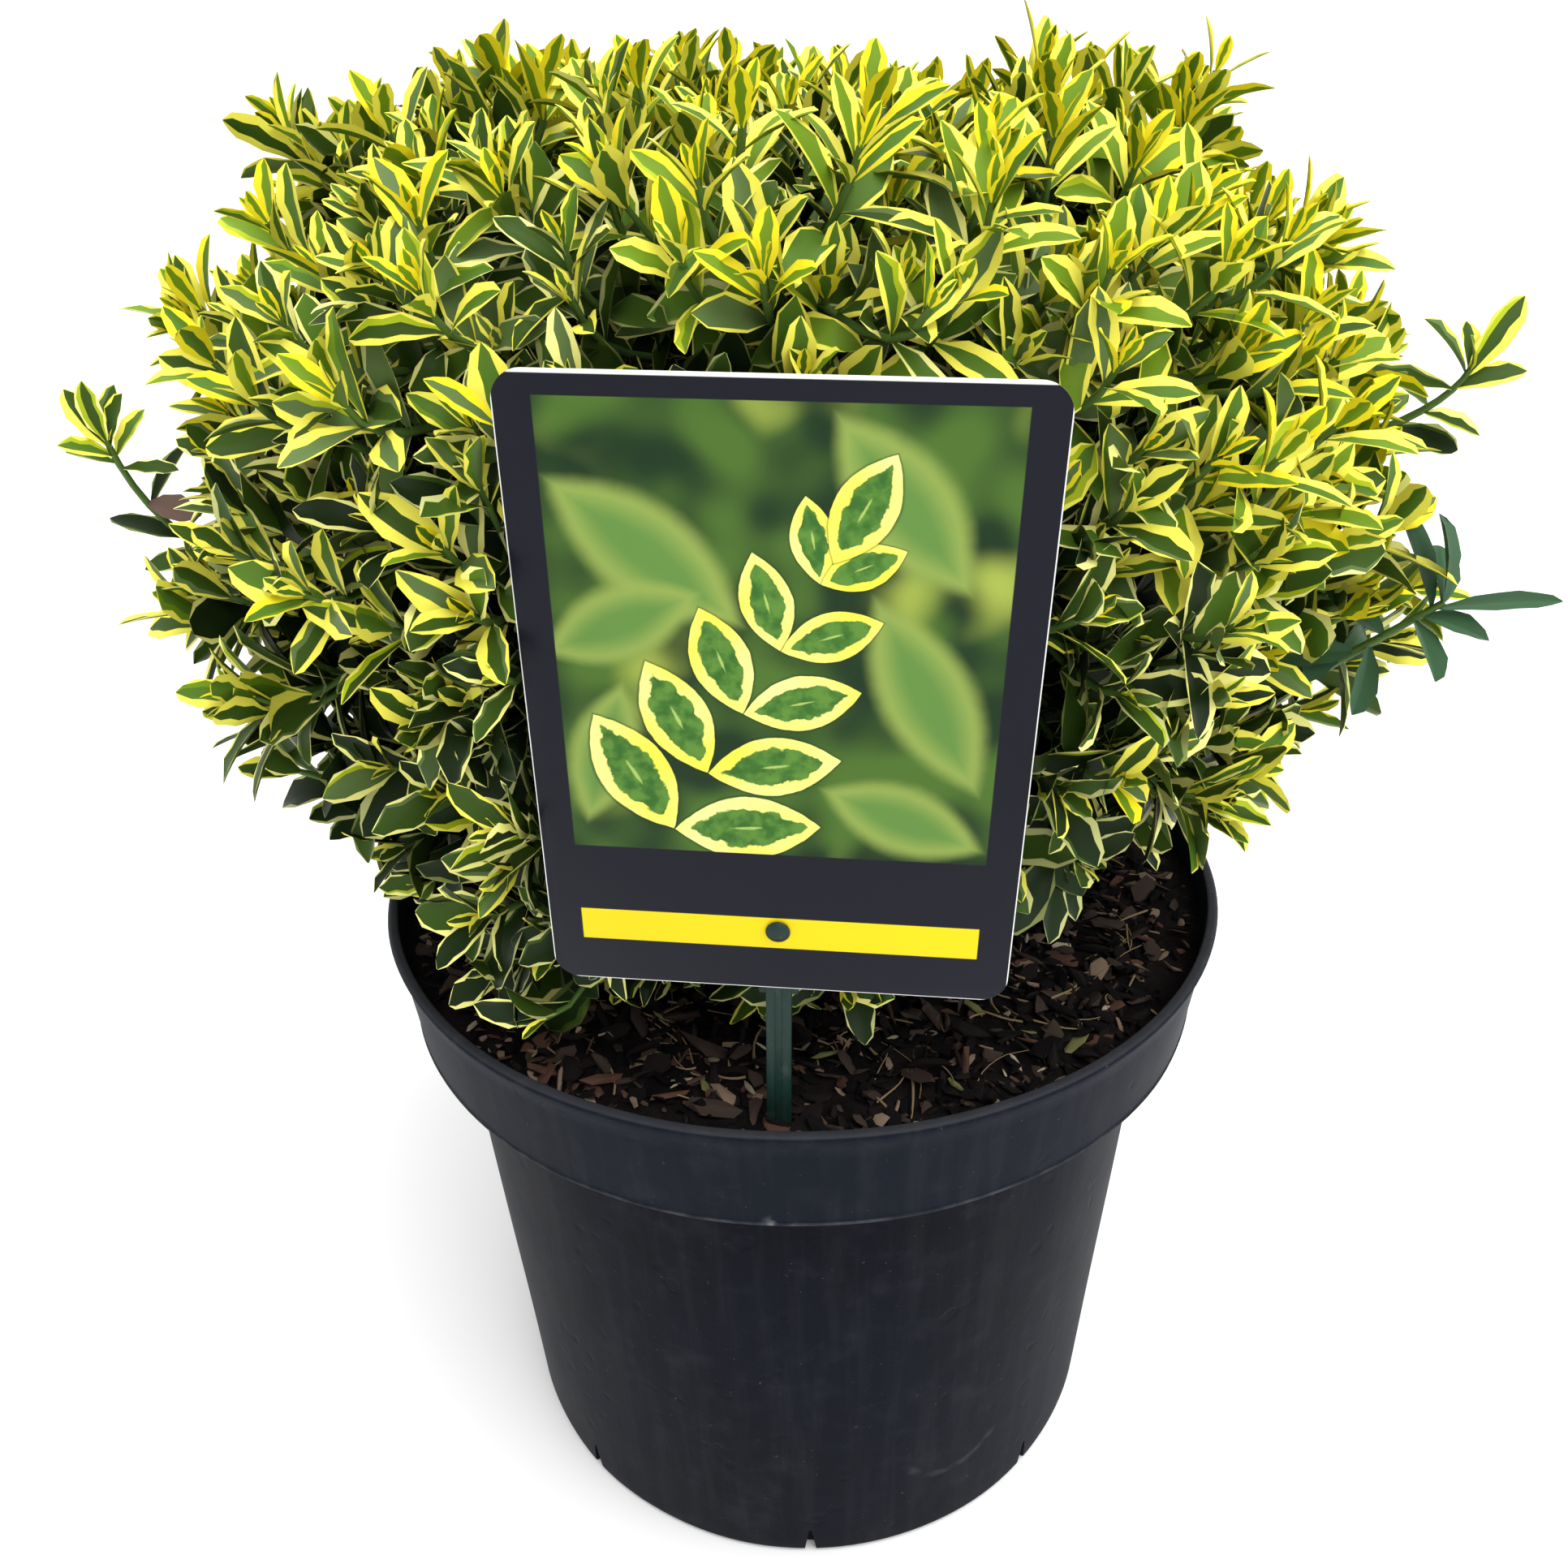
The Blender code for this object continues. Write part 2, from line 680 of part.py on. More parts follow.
def pulled_in(point, around):
    """The outermost clear point between a blocked target and the crown's centre."""
    for step in range(1, PULL_STEPS):
        nearer = point.lerp(CROWN_CENTRE, step * PULL_STEP)
        if around.clear(nearer, LEAF_CLEAR):
            return nearer
    return None


def rosette(tip, heading, spin, scale=1.0, pairs=LEAF_PAIRS):
    """Corners of the leaves in opposite pairs below a shoot's tip, each pair set crosswise."""
    side = heading.orthogonal().normalized()
    leaves = []
    for order, (opening, length, below) in enumerate(pairs):
        for half in (0, 1):
            turn = Matrix.Rotation(spin + math.pi * (0.5 * order + half), 3, heading)
            out = turn @ side
            angle = math.radians(opening)
            along = heading * math.cos(angle) + out * math.sin(angle)
            face = heading * math.sin(angle) - out * math.cos(angle)
            root = tip - heading * (below + half * LEAF_STAGGER)
            size = length * scale
            leaves.append(leaf_corners(root, along, face, size, size * LEAF_WIDTH_SHARE))
    return leaves


def core_bmesh(hub, allowed, rng):
    """A rough lump round the hub within what is allowed of its cell."""
    bm = bmesh.new()
    bmesh.ops.create_icosphere(bm, subdivisions=2, radius=1.0)
    for vertex in bm.verts:
        out = vertex.co.normalized()
        reach = CORE_STEP
        while reach < CORE_REACH and allowed(hub + out * (reach + CORE_STEP)):
            reach += CORE_STEP
        vertex.co = hub + out * reach * (1 - rng.uniform(0, CORE_ROUGHNESS))
    return bm


def largest_body(bm):
    """Drops loose scraps and fills sealed hollows by keeping the body with the most faces."""
    left = set(bm.faces)
    bodies = []
    while left:
        body = set()
        queue = [left.pop()]
        while queue:
            face = queue.pop()
            body.add(face)
            for edge in face.edges:
                for other in edge.link_faces:
                    if other in left:
                        left.discard(other)
                        queue.append(other)
        bodies.append(body)
    bodies.sort(key=len)
    spare = [face for body in bodies[:-1] for face in body]
    bmesh.ops.delete(bm, geom=spare, context="FACES")


def fused(name, material, solids):
    """Joins a mass's solids into one body by one union on a collection, and applies it."""
    parts = bpy.data.collections.new(name + "_parts")
    bpy.context.scene.collection.children.link(parts)
    base = object_from(solids[0], name, material)
    for number, bm in enumerate(solids[1:]):
        piece = object_from(bm, f"{name}_part_{number}", material)
        bpy.context.scene.collection.objects.unlink(piece)
        parts.objects.link(piece)
    join = base.modifiers.new("join", "BOOLEAN")
    join.operation = "UNION"
    join.operand_type = "COLLECTION"
    join.collection = parts
    join.solver = "MANIFOLD"
    bpy.context.view_layer.update()
    evaluated = base.evaluated_get(bpy.context.evaluated_depsgraph_get())
    joined = bpy.data.meshes.new_from_object(evaluated)
    base.modifiers.clear()
    for piece in list(parts.objects):
        bpy.data.objects.remove(piece)
    bpy.data.collections.remove(parts)
    bm = bmesh.new()
    bm.from_mesh(joined)
    bmesh.ops.remove_doubles(bm, verts=bm.verts, dist=WELD)
    largest_body(bm)
    bmesh.ops.triangulate(bm, faces=bm.faces)
    bm.to_mesh(joined)
    bm.free()
    base.data = joined


def seated(route, target, radius):
    """Where a stem starts that runs from a limb's end to a target, just clear of that end."""
    limb_heading = (route[-1] - route[-2]).normalized()
    tilt = math.sin(min(limb_heading.angle(target - route[-1]), math.pi / 2))
    return route[-1] + limb_heading * (GAP + tilt * radius)


def long_shoot(points, scale, keep):
    """Solids of a bent shoot: its twig, a rosette at the tip and leaf pairs below it."""
    thinning = (BOUGH_TIP_RADIUS - SHOOT_RADIUS) / len(points)
    thick = [BOUGH_TIP_RADIUS - thinning * order for order in range(len(points))]
    solids = []
    for start, end, near, far in zip(points, points[1:], thick, thick[1:]):
        overrun = (end - start).normalized() * SHOOT_RADIUS / 2
        solids.append(twig_bmesh(start, end + overrun, near, far))
    bend, tip = points[-2:]
    heading = (tip - bend).normalized()
    leaves = rosette(tip, heading, LONG_SHOOT_SPIN, scale)
    for step in range(1, int((tip - bend).length / PAIR_STEP) + 1):
        foot = tip - heading * PAIR_STEP * (step + PAIR_FIRST)
        spin = LONG_SHOOT_SPIN + math.pi / 2 * step
        leaves += rosette(foot, heading, spin, scale, ((PAIR_OPENING, PAIR_LENGTH, 0.0),))
    solids += [leaf_bmesh(corners) for corners in leaves if keep(corners)]
    return solids


def make_mass(cells, index, route, around):
    """One leafy mass: stem, core, shoots and leaves, all within its own cell."""
    name, _, cell_direction = cells[index]
    walls = cell_walls(cells, index)
    heading = to_crown(cell_direction)
    hub = CROWN_CENTRE + heading * crown_reach(heading) * HUB_SHARE
    rng = random.Random(MASS_SEED + index)

    def in_cell(point, wall_margin):
        return float((walls @ np.array(point - CROWN_CENTRE)).min()) > wall_margin

    def core_allowed(point):
        share = crown_share(point)
        inside = CORE_INNER_SHARE < share < CORE_SHARE and in_cell(point, CORE_WALL_CLEAR)
        return inside and around.clear(point, CORE_CLEAR)

    def free(point, wall_margin):
        return in_cell(point, wall_margin) and around.clear(point, LEAF_CLEAR)

    def keep_leaf(corners):
        return all(free(point, LEAF_WALL_CLEAR) for point in leaf_samples(corners))

    while not core_allowed(hub) and (hub - CROWN_CENTRE).length > HUB_NEAREST:
        hub = hub.lerp(route[-1], HUB_STEP)
    solids = [core_bmesh(hub, core_allowed, rng)]
    foot = seated(route, hub, STEM_RADIUS)
    solids.append(twig_bmesh(foot, hub, STEM_RADIUS, STEM_RADIUS * STEM_TAPER))
    for target in shoot_targets(cells[index], walls, around, SHOOT_COUNT, rng):
        outward = (target - CROWN_CENTRE).normalized()
        grow = shoot_heading(outward, cell_direction, rng)
        tip = target - grow * LEAF_PAIRS[0][1] * LEAF_INSET
        around_tip = rosette(tip, grow, rng.uniform(0, math.pi))
        leaves = [corners for corners in around_tip if keep_leaf(corners)]
        end = tip + grow * SHOOT_RADIUS
        path = [hub.lerp(end, share / TWIG_SAMPLES) for share in range(1, TWIG_SAMPLES + 1)]
        if leaves and all(free(point, 2 * SHOOT_RADIUS) for point in path):
            solids.append(twig_bmesh(hub, end, SHOOT_RADIUS, SHOOT_RADIUS * SHOOT_TAPER))
            solids += [leaf_bmesh(corners) for corners in leaves]
    if name in LONG_SHOOTS:
        points = [hub, *(Vector(point) for point in LONG_SHOOTS[name])]
        solids += long_shoot(points, LONG_SHOOT_SCALE, keep_leaf)
    fused("foliage_" + name, "leaf_variegated", solids)


def make_green_shoot(route, bend, tip):
    """The plain green shoot beyond the crown, just clear of its bough."""
    start = seated(route, bend, BOUGH_TIP_RADIUS)
    solids = long_shoot([start, bend, tip], GREEN_SCALE, lambda corners: True)
    fused("green_shoot", "leaf_green", solids)


def main():
    for leftover in list(bpy.data.objects):
        bpy.data.objects.remove(leftover)
    make_pot()
    make_soil()
    make_label()

    trunk_points, trunk_radii = [], []
    for share, radius in TRUNK_RADII:
        trunk_points.append(TRUNK_FOOT.lerp(TRUNK_TOP, share))
        trunk_radii.append(radius)
    trunk_points[0].xy = trunk_points[1].xy
    limb_object("trunk", trunk_points, trunk_radii, TRUNK_RESOLUTION)
    limbs = [(trunk_points, trunk_radii)]

    thinning = (BOUGH_ROOT_RADIUS - BOUGH_TIP_RADIUS) / (BOUGH_POINTS - 1)
    taper = [BOUGH_ROOT_RADIUS - thinning * order for order in range(BOUGH_POINTS)]
    cells = foliage_cells()
    routes = []
    for name, ring, cell_direction in cells:
        if ring == "top":
            routes.append(trunk_points)
            continue
        heading = to_crown(cell_direction)
        tip = CROWN_CENTRE + heading * crown_reach(heading) * BOUGH_TIP_SHARE
        turn = math.atan2(cell_direction.y, cell_direction.x)
        routes.append(bough_route(turn, FORK_HEIGHTS[ring], tip, heading))
        limb_object("bough_" + name, routes[-1], taper, BOUGH_RESOLUTION)
        limbs.append((routes[-1], taper))
    green = [Vector(point) for point in GREEN_POINTS]
    turn = math.atan2(green[0].y, green[0].x)
    route = bough_route(turn, GREEN_FORK, green[0], (green[1] - green[0]).normalized())
    limb_object("bough_green", route, taper, BOUGH_RESOLUTION)
    limbs += [(route, taper), (green, GREEN_SPACE)]

    around = Surroundings(limbs)
    for index in range(len(cells)):
        make_mass(cells, index, routes[index], around)
    make_green_shoot(route, *green[1:])


main()
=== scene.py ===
"""Dresses the frame of a potted variegated Japanese spindle: pot, mulch, limbs, leafy shoots and label.

Lengths are in metres, +Z is up, and the label stands at the front, towards -Y. The crown grows on
from the limbs by the rule of the part's own source, carried on to finer twigs and leaves of life size.
"""

import math
import random

import bmesh
import bpy
import numpy as np
from mathutils import Matrix, Vector, noise


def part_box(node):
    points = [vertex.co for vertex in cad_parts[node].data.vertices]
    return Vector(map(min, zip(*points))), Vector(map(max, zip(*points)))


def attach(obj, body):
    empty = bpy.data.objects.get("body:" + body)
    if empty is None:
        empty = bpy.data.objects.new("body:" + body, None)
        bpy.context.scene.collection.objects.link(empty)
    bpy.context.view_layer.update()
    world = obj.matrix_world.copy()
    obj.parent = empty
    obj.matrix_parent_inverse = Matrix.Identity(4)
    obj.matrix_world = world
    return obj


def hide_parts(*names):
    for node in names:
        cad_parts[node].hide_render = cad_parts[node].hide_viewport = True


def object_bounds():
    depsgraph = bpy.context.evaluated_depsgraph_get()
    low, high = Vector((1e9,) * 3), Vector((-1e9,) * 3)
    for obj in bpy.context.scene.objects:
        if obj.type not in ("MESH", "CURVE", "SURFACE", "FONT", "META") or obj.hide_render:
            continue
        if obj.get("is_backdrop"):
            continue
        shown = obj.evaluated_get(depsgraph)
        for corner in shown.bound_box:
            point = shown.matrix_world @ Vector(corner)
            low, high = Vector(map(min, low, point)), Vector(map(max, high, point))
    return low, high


bl_info = {
    "name": "Potted variegated spindle",
    "version": (1, 0, 0),
    "blender": (4, 5, 0),
    "location": "3D View > Sidebar > Spindle",
    "description": "Builds the looks of a potted variegated spindle around its frame",
    "category": "Add Mesh",
}

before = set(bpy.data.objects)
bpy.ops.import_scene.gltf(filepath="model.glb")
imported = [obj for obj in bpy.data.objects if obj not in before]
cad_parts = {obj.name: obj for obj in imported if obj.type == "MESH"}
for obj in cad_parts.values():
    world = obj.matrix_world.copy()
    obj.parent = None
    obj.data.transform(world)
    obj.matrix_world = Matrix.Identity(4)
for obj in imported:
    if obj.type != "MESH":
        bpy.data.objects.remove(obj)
FRAME_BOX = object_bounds()
_, POT_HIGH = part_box("pot")

# Pot, as in the frame, with the finer roundings of a moulded one
BASE_ROUND = 0.0025
LIP_ROUND = 0.0016
LIP_INNER_ROUND = LIP_ROUND * 0.6
SHOULDER_ROUND = 0.001
LIP_WIDTH = 0.0034
BEAD_RADIUS = 0.0007
BEAD_INSET = 0.0004
BEAD_TOP = 0.002
WALL_WAVE = 0.00035
WAVES_ROUND = 24
WAVES_UP = 11
DRAIN_COUNT = 8
DRAIN_FIRST = math.radians(-88.5)
DRAIN_WIDTH = 0.008
DRAIN_HEIGHT = 0.013
DRAIN_DEPTH = 0.010
DRAIN_TOP_SHARE = 0.12
# A curved scuff low on the front, and a dusty spot under the collar
SCUFF_TURN = math.radians(-63)
SCUFF_HEIGHT = 0.052
SCUFF_RADIUS = 0.019
SCUFF_TOP = 0.043
DUST_TURN = math.radians(-91.5)

# Mulch: the chips' tones with their weights, and how their lengths, sizes and tilts spread
CHIPS = (
    ("chip_black", (0.0036, 0.003, 0.0033), 30),
    ("chip_dark", (0.0085, 0.0067, 0.0062), 29),
    ("chip_brown", (0.034, 0.024, 0.019), 18),
    ("chip_red", (0.066, 0.034, 0.024), 9),
    ("chip_tan", (0.165, 0.117, 0.083), 8),
    ("chip_moss", (0.120, 0.120, 0.045), 3),
    ("chip_pale", (0.300, 0.250, 0.180), 3),
)
# Chips of the lighter tones, from this one on, are smaller
FIRST_SMALL_CHIP = 4
SMALL_CHIP = 0.75
CHIP_SHAPES = 10
CHIP_CORNERS = (0.55, 1.20)
CHIP_SEED = 21
CHIP_LENGTHS = (-0.10, 0.50)
CHIP_LONGEST = 2.4
CHIP_WIDTHS = (0.14, 0.62)
CHIP_THICKNESSES = (0.07, 0.24)
CHIP_TILTS = (0.45, 0.34)
CHIP_BEDDED = 0.3
CHIP_LIFT = 0.0016
# The soil's crumbs between the chips, its mounds and crumbs to the metre with their heights, and its mesh
CRUMB_TONE = (0.040, 0.027, 0.019)
MOUNDS = (16, 0.0016)
CRUMBS = (130, 0.0009)
SOIL_SIDES = 144
SOIL_RINGS = 60
SOIL_EDGE_SHARE = 0.7
# Thin fibres: tones with weights, and how their sizes spread
FIBRES = (("fibre_tan", (0.20, 0.145, 0.080), 3), ("fibre_green", (0.16, 0.18, 0.050), 1))
FIBRE_LENGTHS = (-4.45, 0.45)
FIBRE_RADII = (0.00018, 0.00055)
FIBRE_LIFTS = (0.0008, 0.0022)
FIBRE_BOW = 0.14
FIBRE_MARGIN = 0.006
FIBRE_SEED = 5
FIBRE_POINTS = 7

# Label card and its stake, in the card's own frame: X along its foot, Z up, Y out of its back
CARD_FOOT = Vector((-0.0023, -0.128, 0.2624))
CARD_LEAN = math.radians(2.7)
CARD_YAW = math.radians(-3.37)
CARD_ROLL = math.radians(1.46)
CARD_CORNER = 0.0066
STAKE_WIDTH = 0.0065
STAKE_THICKNESS = 0.0025
STAKE_FOOT = -0.0690
STAKE_DUST = (0.050, 0.060, 0.050)
PLATE_WIDTH = 0.0100
PLATE_FOOT = -0.0030
PLATE_TOP = 0.0260
PLATE_THICKNESS = STAKE_THICKNESS * 0.8
RIB_WIDTH = STAKE_WIDTH * 0.28
RIB_THICKNESS = STAKE_THICKNESS * 1.25
RIB_SHARE = 0.96
RIB_MIDDLE = 0.49
PIN_HEIGHT = 0.0180
PIN_RADIUS = 0.0018
PIN_HEAD_RADIUS = 0.0030
PIN_HEAD_THICKNESS = 0.0016
PIN_DOME = 0.0045
STAKE_ROUND = 0.0003
# The clearance between pieces, and how far leaves may cover the card's edge and have to stay off its top
GAP = 0.0003
LABEL_EDGE_COVER = 0.006
LABEL_TOP_SHOW = 0.012

# Crown outline, as in the part's source
CROWN_CENTRE = Vector((-0.003, 0.004, 0.345))
CENTRE = np.array(CROWN_CENTRE)
CROWN_UP = 0.130
CROWN_DOWN = 0.135
CROWN_MEAN_HEIGHT = 0.132
TOP_POWER = 2.8
LOW_POWER = 2.0
# Waves round the crown: count, size and lag
CROWN_WAVES = ((2, 0.030, 2.9), (3, 0.020, 0.6), (5, 0.016, 1.9))
# Bulges and hollows: azimuth and elevation in degrees, share of the reach, and spread in radians
BULGES = (
    (-136, -38, 0.20, 0.42),
    (-28, -32, 0.12, 0.35),
    (172, -20, 0.12, 0.45),
    (120, 62, 0.06, 0.35),
    (-136, -14, -0.20, 0.28),
    (-42, -16, -0.20, 0.28),
    (-28, -34, -0.14, 0.35),
    (-13, 26, -0.11, 0.30),
    (-22, -3, 0.04, 0.20),
    (-170, 12, -0.12, 0.26),
    (-166, 34, -0.07, 0.20),
    (90, 84, -0.07, 0.45),
)
# How far forward shoots may end, and how softly they stop there
FRONT_LIMIT = -0.147
FRONT_EASE = 0.035
FRONT_OVER = 0.004
# Tips of the tufts that stand out of the outline
TUFTS = (
    (-0.069, -0.017, 0.468),
    (-0.080, -0.020, 0.470),
    (-0.126, -0.030, 0.460),
    (-0.111, -0.030, 0.457),
    (-0.154, -0.053, 0.420),
    (-0.146, -0.092, 0.328),
    (-0.158, -0.070, 0.352),
    (0.068, -0.011, 0.470),
    (0.099, -0.023, 0.466),
    (0.109, -0.021, 0.453),
    (0.126, -0.084, 0.308),
    (0.116, -0.096, 0.296),
    (0.010, 0.095, 0.452),
    (-0.095, 0.110, 0.420),
    (0.120, 0.100, 0.405),
    (0.150, 0.060, 0.330),
    (-0.130, 0.110, 0.350),
)
# Shoots in each tuft, and how far they lie apart and above its tip
TUFT_SHOOTS = 3
TUFT_SPREAD = 0.0038
TUFT_RISE = 0.0045
# Rings of masses: name, count, elevation and first azimuth in degrees
RINGS = (("top", 1, 90, 0), ("upper", 6, 47, -90), ("middle", 8, 10, -75), ("lower", 7, -30, -102))
# Where boughs end and twigs fan out, as shares of the way to the outline
BOUGH_TIP_SHARE = 0.42
HUB_SHARE = 0.60

# Trunk and boughs, as in the part's source
TRUNK_FOOT = Vector((-0.003, -0.002, 0.2133))
TRUNK_TOP = Vector((-0.003, 0.004, 0.388))
# The trunk's radii by the share of its length
TRUNK_RADII = (
    (0.0, 0.0125),
    (0.03, 0.0098),
    (0.12, 0.0088),
    (0.42, 0.0076),
    (0.55, 0.0058),
    (1.0, 0.0026),
)
BOUGH_ROOT_RADIUS = 0.0025
BOUGH_TIP_RADIUS = 0.0018
BOUGH_SPREAD = 0.014
BOUGH_LIFT = 0.15
FORK_DEPTH = 0.6
BOUGH_ARRIVAL = 0.35
# How many points the limbs get, how their rings swell, and how many furrows the bark has to the metre
TRUNK_POINTS = 70
BOUGH_POINTS = 26
BOUGH_SWELLING = 1.12
TRUNK_FURROWS = 300
BOUGH_FURROWS = 700
# Where the boughs of each ring leave the trunk, and the green shoot's bough and points
FORK_HEIGHTS = {"lower": 0.2505, "middle": 0.263, "upper": 0.283}
GREEN_FORK = 0.239
GREEN_POINTS = ((0.130, -0.060, 0.309), (0.147, -0.068, 0.3255), (0.1650, -0.074, 0.3420))
# The two shoots that stand out of the crown: three points of each after its hub
LONG_SHOOTS = {
    "middle_7": ((-0.1790, -0.018, 0.309), (-0.1850, -0.026, 0.340), (-0.1882, -0.034, 0.3768)),
    "middle_3": ((0.1697, -0.008, 0.3545), (0.1830, -0.010, 0.3715), (0.1885, -0.010, 0.3860)),
}
# The lone shoots' leaves: distance below the tip, direction, length, and width as a share of it
LONE_LEAVES = {
    "middle_7": (
        (0.0004, (-0.10, -0.30, 1.00), 0.017, 0.40),
        (0.0006, (0.12, 0.25, 1.00), 0.016, 0.38),
        (0.0020, (-0.42, -0.20, 1.00), 0.018, 0.44),
        (0.0022, (0.34, -0.10, 1.00), 0.016, 0.42),
        (0.0050, (-0.50, -0.70, 0.55), 0.015, 0.46),
        (0.0052, (0.30, 0.60, 0.80), 0.017, 0.38),
        (0.0070, (-0.95, -0.10, 0.38), 0.015, 0.26),
        (0.0085, (1.00, 0.10, 0.06), 0.015, 0.34),
        (0.0215, (0.45, 0.30, 0.90), 0.021, 0.36),
        (0.0340, (-1.00, -0.10, 0.40), 0.023, 0.28),
        (0.0350, (0.70, -0.50, 0.40), 0.019, 0.36),
        (0.0430, (-0.80, -0.50, 0.10), 0.020, 0.34),
        (0.0440, (0.30, 0.80, 0.30), 0.020, 0.36),
    ),
    "middle_3": (
        (0.0004, (-0.20, -0.60, 1.00), 0.013, 0.44),
        (0.0006, (0.10, 0.50, 1.00), 0.015, 0.42),
        (0.0020, (-0.62, -0.20, 0.90), 0.022, 0.42),
        (0.0022, (0.62, 0.10, 0.95), 0.026, 0.32),
        (0.0060, (0.95, -0.20, 0.40), 0.019, 0.42),
        (0.0065, (-1.00, -0.10, 0.32), 0.030, 0.28),
        (0.0140, (-0.70, -0.30, 0.70), 0.017, 0.42),
        (0.0160, (1.00, -0.20, -0.22), 0.019, 0.42),
        (0.0270, (1.00, -0.15, -0.12), 0.024, 0.36),
        (0.0280, (-0.60, 0.50, 0.55), 0.020, 0.40),
    ),
    "green": (
        (0.0004, (-0.12, -0.16, 1.00), 0.024, 0.52),
        (0.0008, (0.30, 0.75, 0.70), 0.019, 0.44),
        (0.0030, (1.00, -0.05, 0.15), 0.034, 0.15),
        (0.0035, (-0.28, 0.15, 1.00), 0.030, 0.34),
        (0.0060, (1.00, -0.35, -0.16), 0.018, 0.48),
        (0.0080, (0.20, -0.80, -0.45), 0.018, 0.58),
        (0.0160, (-0.75, -0.10, 0.75), 0.021, 0.46),
        (0.0200, (-0.10, -0.50, -0.80), 0.019, 0.46),
        (0.0240, (-1.00, -0.20, 0.10), 0.026, 0.36),
        (0.0280, (-1.00, -0.35, -0.10), 0.023, 0.36),
        (0.0290, (0.60, 0.60, 0.20), 0.022, 0.40),
    ),
}
DEAD_LEAF = (0.0200, (1.00, -0.42, 0.02), 0.018, 0.42)
# The lone shoots' painted light in their leaves' tints and their arch, their leaves' age by distance, and the
# room kept beside them
LONE_SUN = 0.50
LONE_BEND = (0.25, 0.1)
LONE_ARCH = 0.40
LONE_AGE = 0.30
LONE_AGE_SPAN = 0.050
DEAD_TWIST = 0.5
LONE_ROOM = 0.012
LONE_LEAF_ROOM = 0.0045
# How far the lone leaves turn their faces to the front and up
LONE_FACING = np.array((0.0, -0.75, 0.35))

# Shoots: points along each path, twigs per mass, and how a shoot leaves its twig and arrives
PATH_POINTS = 9
TWIGS_PER_MASS = 6
TWIG_REACH = 0.70
FORK_DISTANCE = 0.048
STEM_OVERLAP = 0.001
STEM_BEND = (0.01, 0.012)
TWIG_BEND = (0.008, 0.01)
SHOOT_BEND = (0.3, 0.45)
# How shoots turn up at the sides and more on top, and how they scatter
LIFT_SIDES = 0.80
LIFT_RISE = 0.45
GROW_SPREAD = 0.16
AIM_SPREAD = 0.030
GOLDEN_TURN = math.pi * (1 + math.sqrt(5))
TWIG_RADII = (0.0019, 0.0012)
SHOOT_RADII = (0.0012, 0.0009)
# Blocked ends are pulled in by steps, and ends lie at shares of the way to the outline
PULL_STEP = 0.015
PULL_STEPS = 30
INNER_SHARES = (0.84, 0.94)
OUTER_SHARES = (0.945, 1.006)
INNER_PORTION = 0.26
# Lumps and hollows of the outline, and patches of sunnier shoots with painted light in their leaves' tints,
# by noise over the directions
LUMP_SCALE = 5.5
LUMP_DEPTH = 0.065
HOLE_SCALE = 8.0
HOLE_LEVEL = -0.20
HOLE_RISE = -0.30
PATCH_SCALE = 6.5
PATCH_SUN = 0.55
# Sun by height, painted into the leaves' tints as light from above, with its foot lower and its span longer
# towards the left, then by chance and depth, with painted light on the right side and painted shade deep
# within the crown; partly the real colour of sun-grown leaves
LEFT_SPAN = 0.18
SUN_FOOT = 0.320
SUN_FOOT_LEFT = 0.080
SUN_SPAN = 0.088
SUN_SPAN_LEFT = 0.150
HIGH_SUN = 0.85
SUN_SPREAD = (-0.06, 0.20)
# Painted light on the right side, and painted shade for shoots that end deep within the crown
RIGHT_PAINTED_LIGHT = 2.0
SUN_DEPTH = 0.93
PAINTED_DEPTH_SHADE = 2.2
# Shoots are fewer at the sides and below
THINNED_SIDES = 0.62
THINNED_RISE = 0.50
THINNED_FEWEST = 0.52
# Leaves grow smaller on the sunny top: size at the foot of the crown, and its change up to the top
LEAF_RISE_FOOT = 0.27
LEAF_RISE_SPAN = 0.19
LOW_LEAF_SIZE = 1.16
LEAF_SIZE_FALL = 0.27
LOW_LEAF_WIDTH = 1.14
LEAF_WIDTH_FALL = 0.18
# How far out leaves may reach, as a share of the way to the outline
REACH_LIMIT = 1.05

# Leaf pairs down a shoot: distance below its tip, opening in degrees, length, arch in radians
LEAF_PAIRS = (
    (0.0004, 14, 0.0085, 0.10),
    (0.0026, 27, 0.0160, 0.20),
    (0.0074, 39, 0.0205, 0.32),
    (0.0140, 49, 0.0225, 0.44),
    (0.0215, 57, 0.0228, 0.54),
    (0.0298, 64, 0.0222, 0.60),
    (0.0385, 69, 0.0212, 0.64),
)
FINE_PAIRS = 4
TIP_LEAF_SHARE = 0.70
# The step by which a shoot's heading is read, and the direction that leaves' sides are square to
HEADING_STEP = 0.002
SLANTED = (0.3, 0.2, 0.93)
# How leaf pairs differ: the share of a shoot that bears them, then chance in place, turn, opening and size
PAIRED_SHARE = 0.92
PAIR_SHIFT = (0.9, 1.15)
PAIR_TURN = 0.12
OPENING_SPREAD = 6
LENGTH_SPREAD = (0.88, 1.12)
BREADTH_SPREAD = (0.84, 1.15)
ARCH_SPREAD = (0.5, 1.7)
TWIST_SPREAD = 0.25
FACE_LIFT = 0.5
VIGOUR = (0.90, 1.10)
# Places where a leaf is tested for room: shares along it, and across it
TESTED_ALONG = np.array((0.0, 0.3, 0.6, 1.0, 0.3, 0.3, 0.65, 0.65))
TESTED_ACROSS = np.array((0, 0, 0, 0, 0.85, -0.85, 1.0, -1.0))

